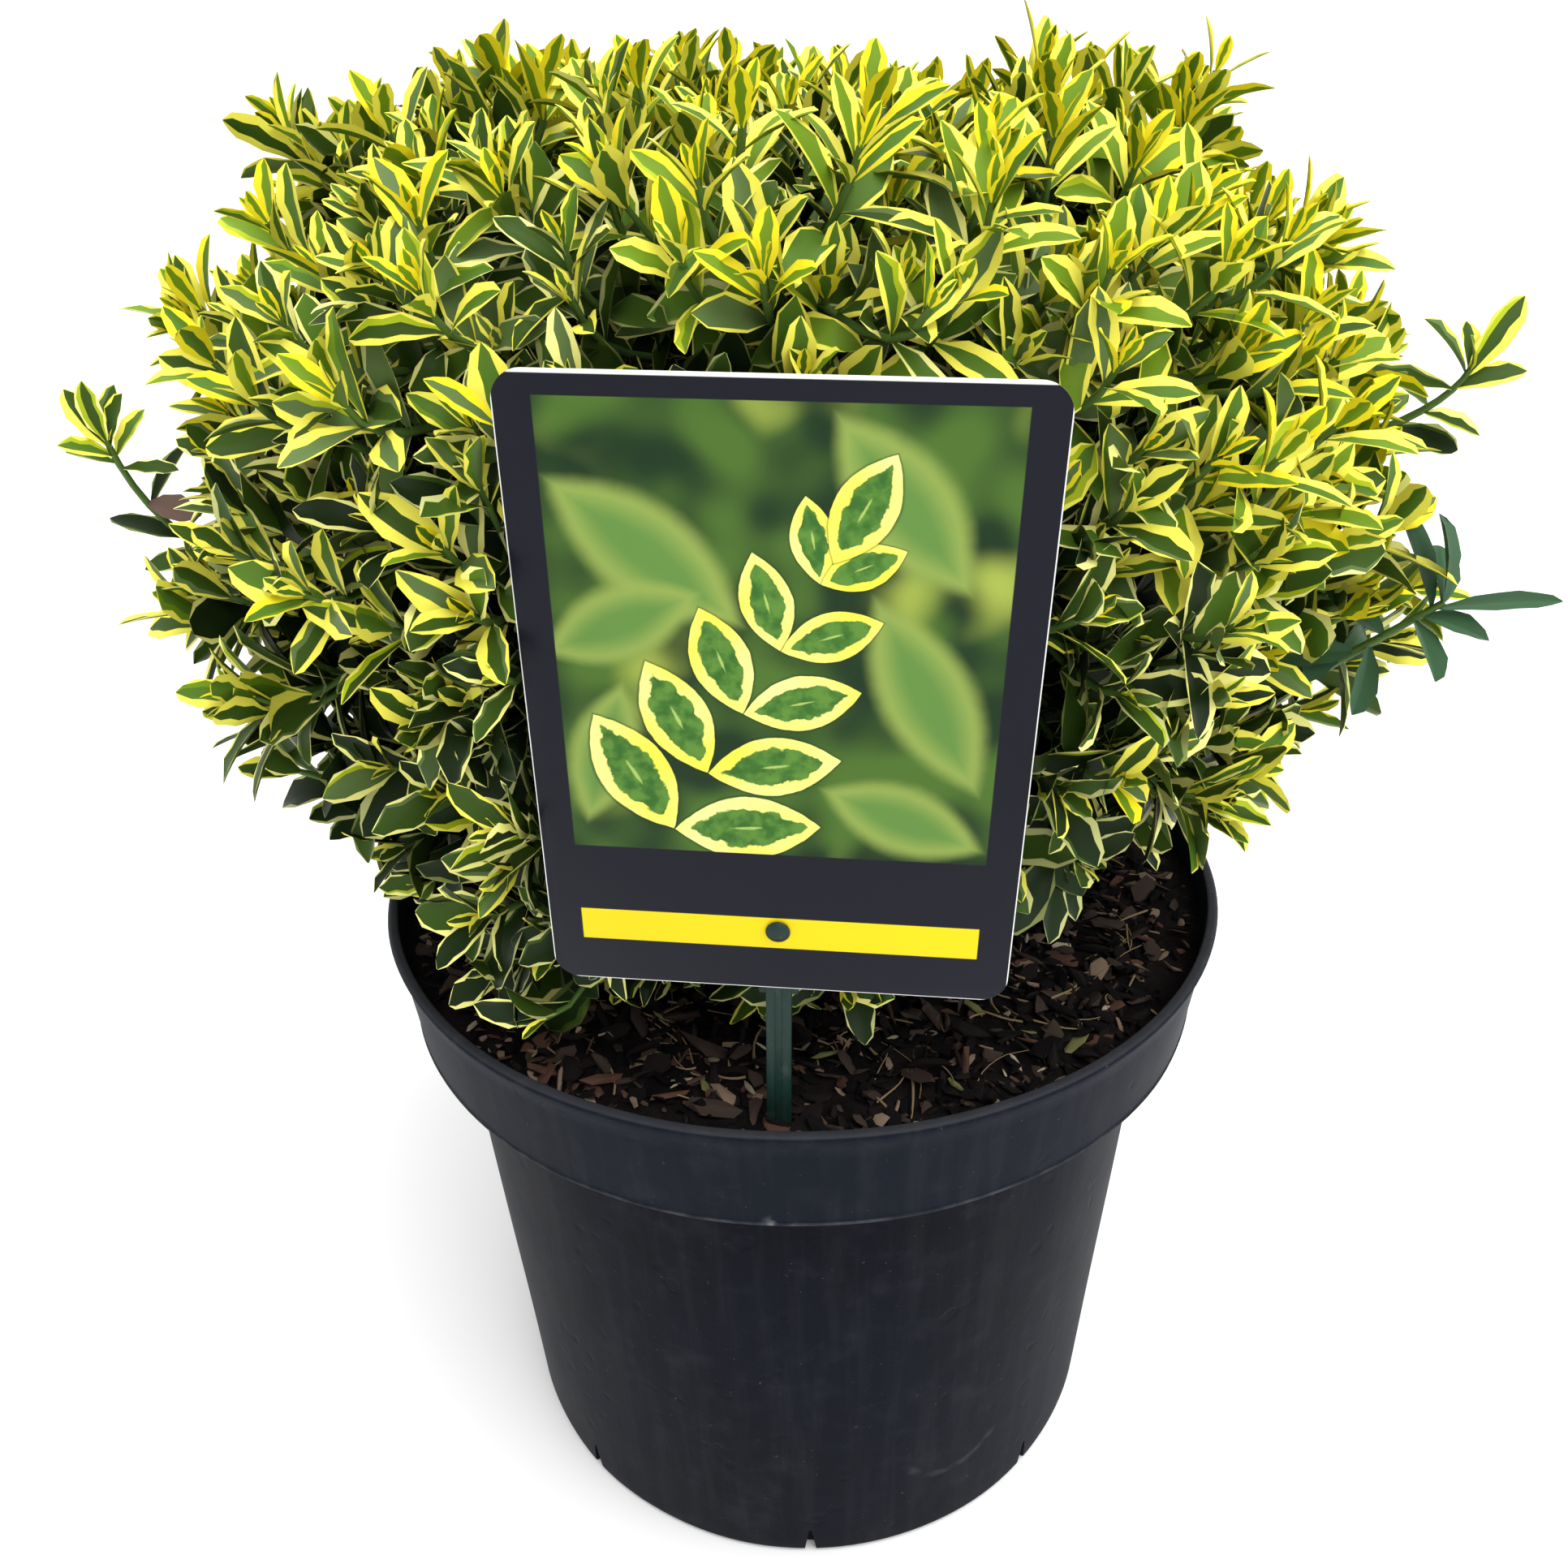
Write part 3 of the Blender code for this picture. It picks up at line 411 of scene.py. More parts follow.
# Leaf outlines: where the rows of corners lie, and the bounds between middle, zone and margin
FINE_ROWS = (0.0, 0.12, 0.28, 0.45, 0.62, 0.77, 0.90, 1.0)
COARSE_ROWS = (0.0, 0.17, 0.38, 0.62, 0.85, 1.0)
FINE_BOUNDS = (0.43, 0.80)
COARSE_BOUNDS = (0.79,)
# Thin margins go to leaves whose age and painted shade are high, so shaded leaves show more of their dark
# middles
THIN_MARGIN = 0.60
THIN_AGE_AND_PAINTED_SHADE = 0.54
RAGGED = 0.22
TOOTH = 0.055
LEAF_SHAPES = 12
# How far a leaf's edge and the bounds within it wander
EDGE_SPREAD = 0.05
EDGE_SHIFT = 0.02
RAGGED_SHARES = (0.1, 1.0)
RAGGED_TIPS = (0.25, 0.70)
BOUND_MOST = 0.94
# How a leaf's width grows from its root and falls to its tip, and the share of its length where it is widest
ROOT_POWER = 0.93
TIP_POWER = 0.68
WIDEST_PLACE = 0.578
ROOT_WIDTH = 0.10
TIP_WIDTH = 0.07

# Stage: the round floor and the wall it rises into, and each lamp's place, spread in degrees and share
FLOOR_RADIUS = 6.0
WALL_ROUND = 4.0
FLOOR_SIDES = 96
FLOOR_TONES = ((0.76, 0.76, 0.76), (0.78, 0.78, 0.78))
LAMPS = (("key", (0.74, -0.76, 1.6), 60, 0.72), ("top", (-0.1, 0.6, 1.9), 80, 0.42))


def length_setting(name, description, default):
    """A length that a user may change."""
    return bpy.props.FloatProperty(name=name, description=description, default=default, unit="LENGTH")


def count_setting(name, description, default, least=0):
    """A count that a user may change."""
    return bpy.props.IntProperty(name=name, description=description, default=default, min=least)


def number_setting(name, description, default, subtype="NONE"):
    """A plain number that a user may change."""
    return bpy.props.FloatProperty(name=name, description=description, default=default, subtype=subtype)


def turn_setting(name, description, degrees):
    """An angle that a user may change."""
    default = math.radians(degrees)
    return bpy.props.FloatProperty(name=name, description=description, default=default, unit="ROTATION")


def colour_setting(name, description, default):
    """A colour that a user may change."""
    return bpy.props.FloatVectorProperty(name=name, description=description, default=default, subtype="COLOR")


class PotSettings(bpy.types.PropertyGroup):
    """Sizes and colours of the pot."""

    height: length_setting("Height", "Height of the pot", POT_HIGH.z)
    rim: length_setting("Rim radius", "Outer radius of the rim", POT_HIGH.x)
    collar: length_setting("Collar", "Height of the collar", 0.0365)
    collar_foot: length_setting("Collar foot", "Outer radius at the collar's foot", 0.135)
    neck: length_setting("Neck radius", "Outer radius below the collar", 0.1222)
    base: length_setting("Base radius", "Outer radius of the base", 0.1124)
    wall: length_setting("Wall", "Thickness of the wall", 0.0022)
    sides: count_setting("Sides", "Steps round the pot", 160, 24)
    plastic: colour_setting("Plastic", "Colour of the plastic", (0.0011, 0.0017, 0.0040))
    collar_tone: colour_setting("Collar tone", "Colour of the collar", (0.0046, 0.0066, 0.0118))
    # Also the colour of the painted highlight along the lip
    dust: colour_setting("Dust", "Colour of dust and scuffs", (0.20, 0.20, 0.20))


class SoilSettings(bpy.types.PropertyGroup):
    """The mulch on the soil."""

    top: length_setting("Level", "Height of the soil's surface", 0.213)
    chips: count_setting("Chips", "How many bark chips", 5000, 1)
    chip: length_setting("Chip length", "Length of a middling chip", 0.0070)
    fibres: count_setting("Fibres", "How many thin fibres", 330)
    earth: colour_setting("Earth", "Colour between the chips", (0.004, 0.003, 0.003))


class CrownSettings(bpy.types.PropertyGroup):
    """How the crown grows."""

    radius: length_setting("Radius", "Mean radius of the crown", 0.180)
    shoots: count_setting("Shoots", "Shoots over the whole crown", 1170, 50)
    lift: number_setting("Lift", "How far shoots turn up towards the light", 1.15)
    seed: count_setting("Seed", "Start of the random draws", 23)


class LeafSettings(bpy.types.PropertyGroup):
    """Shape and colours of the leaves."""

    size: number_setting("Size", "Size against life", 1.0)
    width: number_setting("Width", "Width as a share of the length", 0.385, "FACTOR")
    fold: number_setting("Fold", "Rise of the sides from the midrib", 0.32)
    golden: colour_setting("Golden margin", "Youngest margins", (0.80, 0.68, 0.022))
    yellow: colour_setting("Yellow margin", "Young margins", (0.84, 0.78, 0.100))
    pale: colour_setting("Pale margin", "Grown margins", (0.85, 0.83, 0.27))
    lime: colour_setting("Lime margin", "Young shaded margins", (0.36, 0.44, 0.014))
    cream: colour_setting("Cream margin", "Old margins", (0.47, 0.49, 0.19))
    # Painted shade: darker margins for leaves in shade and deep within the crown
    painted_shade: colour_setting("Dim margin", "Shaded margins", (0.20, 0.23, 0.065))
    painted_deep_shade: colour_setting("Hidden margin", "Margins deep in the crown", (0.065, 0.085, 0.024))
    fresh: colour_setting("Fresh middle", "Youngest green", (0.135, 0.235, 0.012))
    leaf: colour_setting("Green middle", "Young green", (0.075, 0.155, 0.016))
    # Painted sheen: a grey-blue middle dealt to some leaves stands in for the sky's reflection on glossy
    # leaves
    painted_sheen_grey: colour_setting("Grey middle", "Bloomy green", (0.098, 0.158, 0.048))
    # The dark and deep middles are dealt more to shaded leaves: partly the real green of grown and old
    # leaves, partly painted shade
    dark: colour_setting("Dark middle", "Grown green", (0.036, 0.074, 0.009))
    deep: colour_setting("Deep middle", "Old green", (0.011, 0.023, 0.006))
    plain: colour_setting("Plain leaf", "Leaves with no margin", (0.036, 0.088, 0.040))
    # Painted shade on one half of each plain leaf, across its fold
    plain_painted_shade_half: colour_setting("Plain half", "The other half of those", (0.027, 0.070, 0.030))
    withered: colour_setting("Withered", "A dead leaf", (0.125, 0.078, 0.062))


class LimbSettings(bpy.types.PropertyGroup):
    """Bark and young stems."""

    relief: length_setting("Relief", "Depth of the bark's furrows", 0.0006)
    bark: colour_setting("Bark", "Colour of old bark", (0.105, 0.080, 0.052))
    furrow: colour_setting("Furrow", "Colour in the furrows", (0.028, 0.022, 0.015))
    stem: colour_setting("Young stem", "Colour of green stems", (0.070, 0.130, 0.028))
    twig: colour_setting("Twig", "Colour of grown twigs", (0.060, 0.070, 0.030))


class LabelSettings(bpy.types.PropertyGroup):
    """Sizes and colours of the label."""

    width: length_setting("Width", "Width of the card", 0.112)
    height: length_setting("Height", "Height of the card", 0.150)
    thickness: length_setting("Thickness", "Thickness of the card", 0.0008)
    border: colour_setting("Border", "Colour of the border", (0.0065, 0.0072, 0.0125))
    band: colour_setting("Band", "Colour of the bands", (0.72, 0.55, 0.006))
    stake: colour_setting("Stake", "Colour of the stake", (0.006, 0.022, 0.017))


class StageSettings(bpy.types.PropertyGroup):
    """Camera, floor and lights."""

    place: bpy.props.FloatVectorProperty(
        name="Camera", description="Place of the camera", default=(0.0111, -0.38694, 0.46177), unit="LENGTH"
    )
    pitch: turn_setting("Pitch", "How far it looks down", 28.682)
    yaw: turn_setting("Yaw", "How far it turns left", 2.395)
    roll: turn_setting("Roll", "How far it tilts", -1.300)
    lens: number_setting("Lens", "Focal length in millimetres", 29.814, "DISTANCE_CAMERA")
    sky: number_setting("Sky", "Strength of the even light", 0.62)
    key: number_setting("Key light", "Strength of the soft lamps", 4.5)


class SpindleSettings(bpy.types.PropertyGroup):
    """All settings of the potted spindle."""

    pot: bpy.props.PointerProperty(type=PotSettings, name="Pot", description="The pot")
    soil: bpy.props.PointerProperty(type=SoilSettings, name="Soil", description="The mulch")
    limbs: bpy.props.PointerProperty(type=LimbSettings, name="Limbs", description="Trunk and boughs")
    crown: bpy.props.PointerProperty(type=CrownSettings, name="Crown", description="The crown")
    leaf: bpy.props.PointerProperty(type=LeafSettings, name="Leaves", description="The leaves")
    label: bpy.props.PointerProperty(type=LabelSettings, name="Label", description="The label")
    stage: bpy.props.PointerProperty(type=StageSettings, name="Stage", description="Camera and lights")


# The colour sockets of a Mix node, by their places
MIX_FIRST = 6
MIX_SECOND = 7
MIX_RESULT = 2


class Value:
    """A shader socket whose arithmetic adds Math nodes."""

    def __init__(self, shader, socket):
        self.shader = shader
        self.socket = socket

    def math(self, operation, *others):
        """A Math node that starts with this value."""
        return self.shader.math(operation, self, *others)

    def __add__(self, other):
        return self.math("ADD", other)

    __radd__ = __add__

    def __sub__(self, other):
        return self.math("SUBTRACT", other)

    def __rsub__(self, other):
        return self.shader.math("SUBTRACT", other, self)

    def __mul__(self, other):
        return self.math("MULTIPLY", other)

    __rmul__ = __mul__

    def __truediv__(self, other):
        return self.math("DIVIDE", other)

    def __abs__(self):
        return self.math("ABSOLUTE")

    def least(self, other):
        """The lesser of two values."""
        return self.math("MINIMUM", other)

    def ramp(self, low, high):
        """A smooth step from 0 at low to 1 at high."""
        inputs = {"Value": self, "From Min": low, "From Max": high}
        return self.shader.node("ShaderNodeMapRange", {"interpolation_type": "SMOOTHSTEP"}, inputs)


class Shader:
    """One material: its Principled surface, and the nodes that feed it."""

    def __init__(self, name, **constants):
        self.material = bpy.data.materials.new(name)
        self.material.use_nodes = True
        self.tree = self.material.node_tree
        self.surface = self.tree.nodes["Principled BSDF"]
        for socket, value in constants.items():
            self.paint(socket.replace("_", " "), value)

    def feed(self, socket, value):
        """Links a value to a socket, or sets the socket to a constant."""
        if isinstance(value, Value):
            self.tree.links.new(value.socket, socket)
        elif socket.type == "RGBA":
            socket.default_value = (*value[:3], 1.0)
        else:
            socket.default_value = value

    def paint(self, socket, value):
        """Feeds a socket of the surface."""
        self.feed(self.surface.inputs[socket], value)

    def node(self, kind, settings=None, inputs=None, output=0):
        """Adds a node, its settings first and then its sockets, and returns one of its outputs."""
        made = self.tree.nodes.new(kind)
        for key, value in (settings or {}).items():
            setattr(made, key, value)
        for key, value in (inputs or {}).items():
            self.feed(made.inputs[key], value)
        return Value(self, made.outputs[output])

    def math(self, operation, *values):
        """One step of arithmetic."""
        return self.node("ShaderNodeMath", {"operation": operation}, dict(enumerate(values)))

    def mix(self, share, first, second):
        """A colour between two, by a share."""
        inputs = {"Factor": share, MIX_FIRST: first, MIX_SECOND: second}
        return self.node("ShaderNodeMix", {"data_type": "RGBA"}, inputs, MIX_RESULT)

    def place(self):
        """Object coordinates."""
        return self.node("ShaderNodeTexCoord", output="Object")

    def parts(self, vector):
        """X, Y and Z of a vector."""
        split = self.node("ShaderNodeSeparateXYZ", inputs={0: vector}).socket.node
        return [Value(self, output) for output in split.outputs]

    def noise(self, vector, scale, detail=3.0, roughness=0.55):
        """Cloudy noise about 0.5."""
        inputs = {"Vector": vector, "Scale": scale, "Detail": detail, "Roughness": roughness}
        return self.node("ShaderNodeTexNoise", inputs=inputs)

    def stretched(self, vector, stretch):
        """A vector times another."""
        return self.node("ShaderNodeVectorMath", {"operation": "MULTIPLY"}, {0: vector, 1: stretch})

    def span(self, x, y):
        """How long the way from the origin to a point is."""
        point = self.node("ShaderNodeCombineXYZ", inputs={0: x, 1: y})
        return self.node("ShaderNodeVectorMath", {"operation": "LENGTH"}, {0: point}, "Value")

    def relief(self, height, distance, strength=1.0):
        """Feeds the normal by a height."""
        inputs = {"Height": height, "Distance": distance, "Strength": strength}
        self.paint("Normal", self.node("ShaderNodeBump", inputs=inputs))


def brighter(colour, times):
    """A colour some times as bright."""
    return [channel * times for channel in colour]


def pot_plastic(pot):
    """Charcoal plastic with upright streaks, dust, scuffs, and a painted highlight along the top of the lip.
    """
    shader = Shader("pot_plastic", Specular_IOR_Level=0.042)
    place = shader.place()
    x, y, z = shader.parts(place)
    streak = shader.noise(shader.stretched(place, (170.0, 170.0, 9.0)), 1.0, 5.0, 0.65)
    mottle = shader.noise(place, 75.0, 5.0, 0.62)
    smudge = shader.noise(place, 14.0, 3.0)
    speck = shader.noise(place, 620.0, 1.0).ramp(0.76, 0.79)
    wear = shader.noise(place, 120.0, 3.0)
    shelf = pot.height - pot.collar
    flash = 1 - abs(z - shelf - BEAD_RADIUS).ramp(0.0002, 0.0008)
    # Painted highlight: a fine pale line along the top of the lip
    lip = 1 - abs(z - pot.height + 0.0002).ramp(0.0002, 0.0006)
    turn = y.math("ARCTAN2", x)
    from_scuff = shader.span((turn - SCUFF_TURN) * pot.base, z - SCUFF_HEIGHT)
    scuff = 1 - abs(from_scuff - SCUFF_RADIUS).ramp(0.0003, 0.0026)
    scuff = scuff * (z - SCUFF_TOP).ramp(0.003, -0.003) * wear.ramp(0.35, 0.6)
    from_spot = shader.span((turn - DUST_TURN) * pot.neck, z - shelf)
    dusty = from_spot.ramp(0.0055, 0.0008) * wear.ramp(0.45, 0.60)
    # Mixed towards the dust colour: real dust, specks, flash and scuffs, and the lip's painted highlight
    dust = streak.ramp(0.44, 0.70) * 0.020 + mottle.ramp(0.50, 0.76) * 0.026 + speck * 0.16
    dust = dust + flash * (0.05 + wear.ramp(0.40, 0.70) * 0.14) + lip * 0.09 + scuff * 0.10 + dusty * 0.5
    body = shader.mix(mottle.ramp(0.32, 0.62), pot.plastic, brighter(pot.plastic, 1.7))
    body = shader.mix(smudge.ramp(0.40, 0.68), body, brighter(pot.plastic, 2.1))
    body = shader.mix((z - shelf).ramp(-0.0005, 0.0005), body, pot.collar_tone)
    shader.paint("Base Color", shader.mix(dust.least(1.0), body, pot.dust))
    shader.paint("Roughness", 0.42 + smudge * 0.18 + dust * 0.25)
    fine = shader.noise(place, 1200.0, 2.0)
    dent = shader.noise(place, 95.0, 1.0).ramp(0.24, 0.34)
    shader.relief(streak * 0.30 + fine * 0.20 + mottle * 0.45 + dent * 0.5 + scuff * 0.4, 0.0004, 0.6)
    return shader.material


def earth(soil):
    """Dark crumbly substrate between the chips."""
    shader = Shader("earth", Specular_IOR_Level=0.05)
    place = shader.place()
    crumb = shader.noise(place, 420.0, 5.0, 0.7)
    patch = shader.noise(place, 60.0, 3.0)
    brown = shader.mix(patch.ramp(0.35, 0.65), soil.earth, brighter(soil.earth, 2.6))
    shader.paint("Base Color", shader.mix(crumb.ramp(0.60, 0.74), brown, CRUMB_TONE))
    shader.paint("Roughness", 0.80 + crumb * 0.15)
    shader.relief(crumb + patch, 0.0012)
    return shader.material


def chip_bark(name, colour):
    """Bark chip or fibre in one plain tone."""
    return Shader(name, Base_Color=colour, Roughness=0.85, Specular_IOR_Level=0.07).material


def bark(name, limbs, colour):
    """Bark with lengthwise furrows."""
    shader = Shader(name, Specular_IOR_Level=0.3)
    place = shader.place()
    furrow = shader.noise(shader.stretched(place, (420.0, 420.0, 60.0)), 1.0, 5.0, 0.65)
    patch = shader.noise(place, 110.0, 3.0)
    body = shader.mix(patch.ramp(0.35, 0.7), colour, brighter(colour, 1.7))
    shader.paint("Base Color", shader.mix(furrow.ramp(0.40, 0.60), limbs.furrow, body))
    shader.paint("Roughness", 0.70 + patch * 0.2)
    shader.relief(furrow, 0.0006)
    return shader.material


def leaf_skin(name, colour, roughness=0.42):
    """A waxy leaf in one plain tone."""
    return Shader(name, Base_Color=colour, Roughness=roughness, Specular_IOR_Level=0.09).material


# The card's print: the border's width, how soft its edges are, the panel's top, and the band's foot and top
CARD_BORDER = 0.0082
SHARP = 0.0003
CARD_PANEL = 0.0400
CARD_BAND = (0.0125, 0.0215)
# Its colours: the blurred ground, soft leaves on it, the sprig's leaves, and the plain edge and back
PRINT_GROUND = ((0.008, 0.026, 0.008), (0.055, 0.120, 0.018), (0.30, 0.37, 0.06))
PRINT_BLUR = ((0.21, 0.29, 0.06), (0.095, 0.200, 0.040))
PRINT_MARGIN = ((0.74, 0.66, 0.05), (0.70, 0.70, 0.25))
PRINT_MIDDLE = ((0.030, 0.110, 0.016), (0.085, 0.200, 0.030))
PRINT_MIDRIB = (0.30, 0.42, 0.10)
PRINT_SHADOW = (0.010, 0.025, 0.008)
CARD_CUT = (0.75, 0.75, 0.74)
CARD_BACK = (0.62, 0.62, 0.60)
# Large soft leaves behind the printed sprig: root, turn in degrees, length and half width
PRINTED_BLURS = (
    ((-0.046, 0.128), -38, 0.048, 0.0100),
    ((0.044, 0.060), 118, 0.050, 0.0095),
    ((-0.050, 0.090), 24, 0.036, 0.0080),
    ((0.012, 0.142), -52, 0.044, 0.0095),
    ((0.046, 0.044), 158, 0.038, 0.0085),
    ((-0.044, 0.048), 74, 0.036, 0.0075),
)
# The printed sprig: where it starts, its slant in degrees, the steps between pairs, and the leaves
SPRIG_START = Vector((-0.024, 0.046))
SPRIG_SLANT = 62
SPRIG_STEP = 0.0175
SPRIG_PAIRS = 5
SPRIG_LEAF = (0.034, 0.0085)
SPRIG_TIP_LEAF = (0.026, 0.0065)


def print_leaf(x, z, rough, root, turn, length, width):
    """How far inside one printed leaf a point lies: 0 at its edge, 1 on its midrib."""
    cos, sin = math.cos(math.radians(turn)), math.sin(math.radians(turn))
    along = ((x - root[0]) * cos + (z - root[1]) * sin) / length
    across = ((z - root[1]) * cos - (x - root[0]) * sin) / width
    return along * (1 - along) * 4 - abs(across) + (rough - 0.5) * 0.10


def card_print(label):
    """The card's print: a dark border and a bright band round a plain sprig of leaves."""
    shader = Shader("card_print", Specular_IOR_Level=0.12)
    inverse = label_place().inverted()
    settings = {"vector_type": "POINT"}
    inputs = {"Vector": shader.place(), "Location": inverse.to_translation(), "Rotation": inverse.to_euler()}
    place = shader.node("ShaderNodeMapping", settings, inputs)
    x, y, z = shader.parts(place)
    rough = shader.noise(place, 260.0, 4.0)
    blur = shader.noise(place, 42.0, 1.0)
    tone = shader.noise(place, 24.0, 2.0)
    ground = shader.mix(blur.ramp(0.40, 0.64), *PRINT_GROUND[:2])
    ground = shader.mix(tone.ramp(0.56, 0.72), ground, PRINT_GROUND[2])
    for leaf in PRINTED_BLURS:
        inside = print_leaf(x, z, rough, *leaf)
        ground = shader.mix(inside.ramp(-0.30, 0.25), ground, PRINT_BLUR[0])
        ground = shader.mix(inside.ramp(0.05, 0.80), ground, PRINT_BLUR[1])
    for leaf in printed_sprig():
        inside = print_leaf(x, z, rough, *leaf)
        margin = shader.mix(blur.ramp(0.3, 0.7), *PRINT_MARGIN)
        middle = shader.mix(rough.ramp(0.35, 0.65), *PRINT_MIDDLE)
        face = shader.mix((inside + (rough - 0.5) * 0.5).ramp(0.36, 0.42), margin, middle)
        face = shader.mix(inside.ramp(0.93, 0.98), face, PRINT_MIDRIB)
        ground = shader.mix(inside.ramp(-0.10, 0.0) * 0.55, ground, PRINT_SHADOW)
        ground = shader.mix(inside.ramp(0.0, 0.03), ground, face)
    side = label.width / 2 - abs(x)
    top = label.height - z
    inset = side.least(top * 1.6)
    panel = (z - CARD_PANEL).ramp(SHARP, 0.0)
    band = (z - CARD_BAND[1]).ramp(SHARP, 0.0) * (z - CARD_BAND[0]).ramp(0.0, SHARP)
    picture = shader.mix(band, shader.mix(panel, ground, label.border), label.band)
    framed = shader.mix(inset.ramp(CARD_BORDER, CARD_BORDER - SHARP), picture, label.border)
    cut = (side * 2.6).least(z * 2.6).least(top)
    face = shader.mix(cut.ramp(0.0009, 0.0006), framed, CARD_CUT)
    shader.paint("Base Color", shader.mix(y.ramp(0.0, 0.0002), face, CARD_BACK))
    shader.paint("Roughness", 0.30 + tone * 0.10)
    return shader.material


def printed_sprig():
    """Root, turn, length and half width of each leaf of the printed sprig: pairs up a slanting stem."""
    slant = math.radians(SPRIG_SLANT)
    ahead = Vector((math.cos(slant), math.sin(slant))) * SPRIG_STEP
    leaves = []
    for step in range(SPRIG_PAIRS):
        length, width = (size * (1.0 - 0.11 * step) for size in SPRIG_LEAF)
        for side in (1, -1):
            leaves.append((SPRIG_START + ahead * step, SPRIG_SLANT + side * (58 - 5 * step), length, width))
    leaves.append((SPRIG_START + ahead * (SPRIG_PAIRS - 0.7), SPRIG_SLANT, *SPRIG_TIP_LEAF))
    return leaves


def stake_plastic(label):
    """Dark green stake plastic."""
    shader = Shader("stake_plastic", Specular_IOR_Level=0.25)
    place = shader.place()
    grain = shader.noise(shader.stretched(place, (300.0, 300.0, 30.0)), 1.0, 3.0)
    dust = shader.noise(place, 220.0, 3.0).ramp(0.55, 0.75)
    shader.paint("Base Color", shader.mix(dust * 0.4, label.stake, STAKE_DUST))
    shader.paint("Roughness", 0.36 + grain * 0.2)
    shader.relief(grain, 0.0002, 0.4)
    return shader.material


def backdrop():
    """The pale floor that rises into a pale wall."""
    shader = Shader("backdrop", Roughness=0.9)
    tone = shader.noise(shader.place(), 3.0, 2.0)
    shader.paint("Base Color", shader.mix(tone, *FLOOR_TONES))
    return shader.material


def piece(name, mesh, slot, *replaced):
    """Links a finished mesh as a piece that rides with the plant."""
    made = bpy.data.objects.new(name, mesh)
    bpy.context.scene.collection.objects.link(made)
    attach(made, "root")
    if replaced:
        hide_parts(*replaced)


def smoothed(mesh, angle):
    """Shades a mesh smooth up to an angle in degrees."""
    mesh.shade_smooth()
    mesh.set_sharp_from_angle(angle=math.radians(angle))
    return mesh


def mesh_from(bm, name, material=None):
    """A mesh from a bmesh, in one material."""
    mesh = bpy.data.meshes.new(name)
    bm.to_mesh(mesh)
    bm.free()
    if material:
        mesh.materials.append(material)
    return mesh


def spun(profile, sides):
    """A profile of radii and heights turned about Z."""
    bm = bmesh.new()
    corners = [bm.verts.new((radius, 0.0, height)) for radius, height in profile]
    edges = [bm.edges.new(pair) for pair in zip(corners, corners[1:])]
    full = {"cent": (0, 0, 0), "axis": (0, 0, 1), "angle": math.tau, "use_merge": True}
    bmesh.ops.spin(bm, geom=corners + edges, steps=sides, **full)
    bmesh.ops.remove_doubles(bm, verts=bm.verts, dist=1e-6)
    bmesh.ops.recalc_face_normals(bm, faces=bm.faces)
    return bm


def bevelled(bm, geom, affect, offset, segments):
    """Rounds corners or edges."""
    rounding = {"affect": affect, "segments": segments, "profile": 0.5, "material": -1}
    bmesh.ops.bevel(bm, geom=geom, offset=offset, **rounding)


def arc(centre, radius, first, last, steps):
    """Points of a round corner in a profile, by angles in degrees."""
    turns = [math.radians(first + (last - first) * step / steps) for step in range(steps + 1)]
    return [(centre[0] + radius * math.cos(turn), centre[1] + radius * math.sin(turn)) for turn in turns]


def straight(start, end, steps):
    """Points between two profile points, without its ends."""
    shares = [step / steps for step in range(1, steps)]
    return [(start[0] + (end[0] - start[0]) * t, start[1] + (end[1] - start[1]) * t) for t in shares]


def box(bm, size, centre):
    """Adds a box and returns its corners."""
    place = Matrix.Translation(centre) @ Matrix.Diagonal((*size, 1.0))
    return bmesh.ops.create_cube(bm, size=1.0, matrix=place)["verts"]


def finished(carrier):
    """The mesh that an object gives with its modifiers or its bevel."""
    evaluated = carrier.evaluated_get(bpy.context.evaluated_depsgraph_get())
    return bpy.data.meshes.new_from_object(evaluated)


def combined(mesh, others, operation):
    """A mesh joined with, or cut by, others, by Boolean modifiers that are applied."""
    carrier = bpy.data.objects.new("carrier", mesh)
    tools = [bpy.data.objects.new("tool", other) for other in others]
    for held in (carrier, *tools):
        bpy.context.scene.collection.objects.link(held)
    for tool in tools:
        modifier = carrier.modifiers.new("combine", "BOOLEAN")
        modifier.operation = operation
        modifier.object = tool
    made = finished(carrier)
    for held in (carrier, *tools):
        bpy.data.objects.remove(held)
    return made


def tubes(name, routes, resolution, materials):
    """One mesh of tapering tubes, each with its points, radii and material number."""
    curve = bpy.data.curves.new(name, "CURVE")
    curve.dimensions = "3D"
    curve.bevel_depth = 1.0
    curve.bevel_resolution = resolution
    curve.use_fill_caps = True
    for points, radii, number in routes:
        spline = curve.splines.new("POLY")
        spline.points.add(len(points) - 1)
        spline.points.foreach_set("co", np.column_stack((points, np.ones(len(points)))).ravel())
        spline.points.foreach_set("radius", np.array(radii, float))
        spline.material_index = number
        spline.use_smooth = True
    for material in materials:
        curve.materials.append(material)
    carrier = bpy.data.objects.new(name, curve)
    bpy.context.scene.collection.objects.link(carrier)
    mesh = finished(carrier)
    bpy.data.objects.remove(carrier)
    bpy.data.curves.remove(curve)
    return mesh


def joined(name, points, faces, numbers, materials):
    """One mesh from lists of arrays of points, faces and material numbers."""
    mesh = bpy.data.meshes.new(name)
    mesh.from_pydata(np.concatenate(points), [], np.concatenate(faces).tolist())
    for material in materials:
        mesh.materials.append(material)
    mesh.polygons.foreach_set("material_index", np.concatenate(numbers).astype(np.int32))
    mesh.shade_smooth()
    return mesh


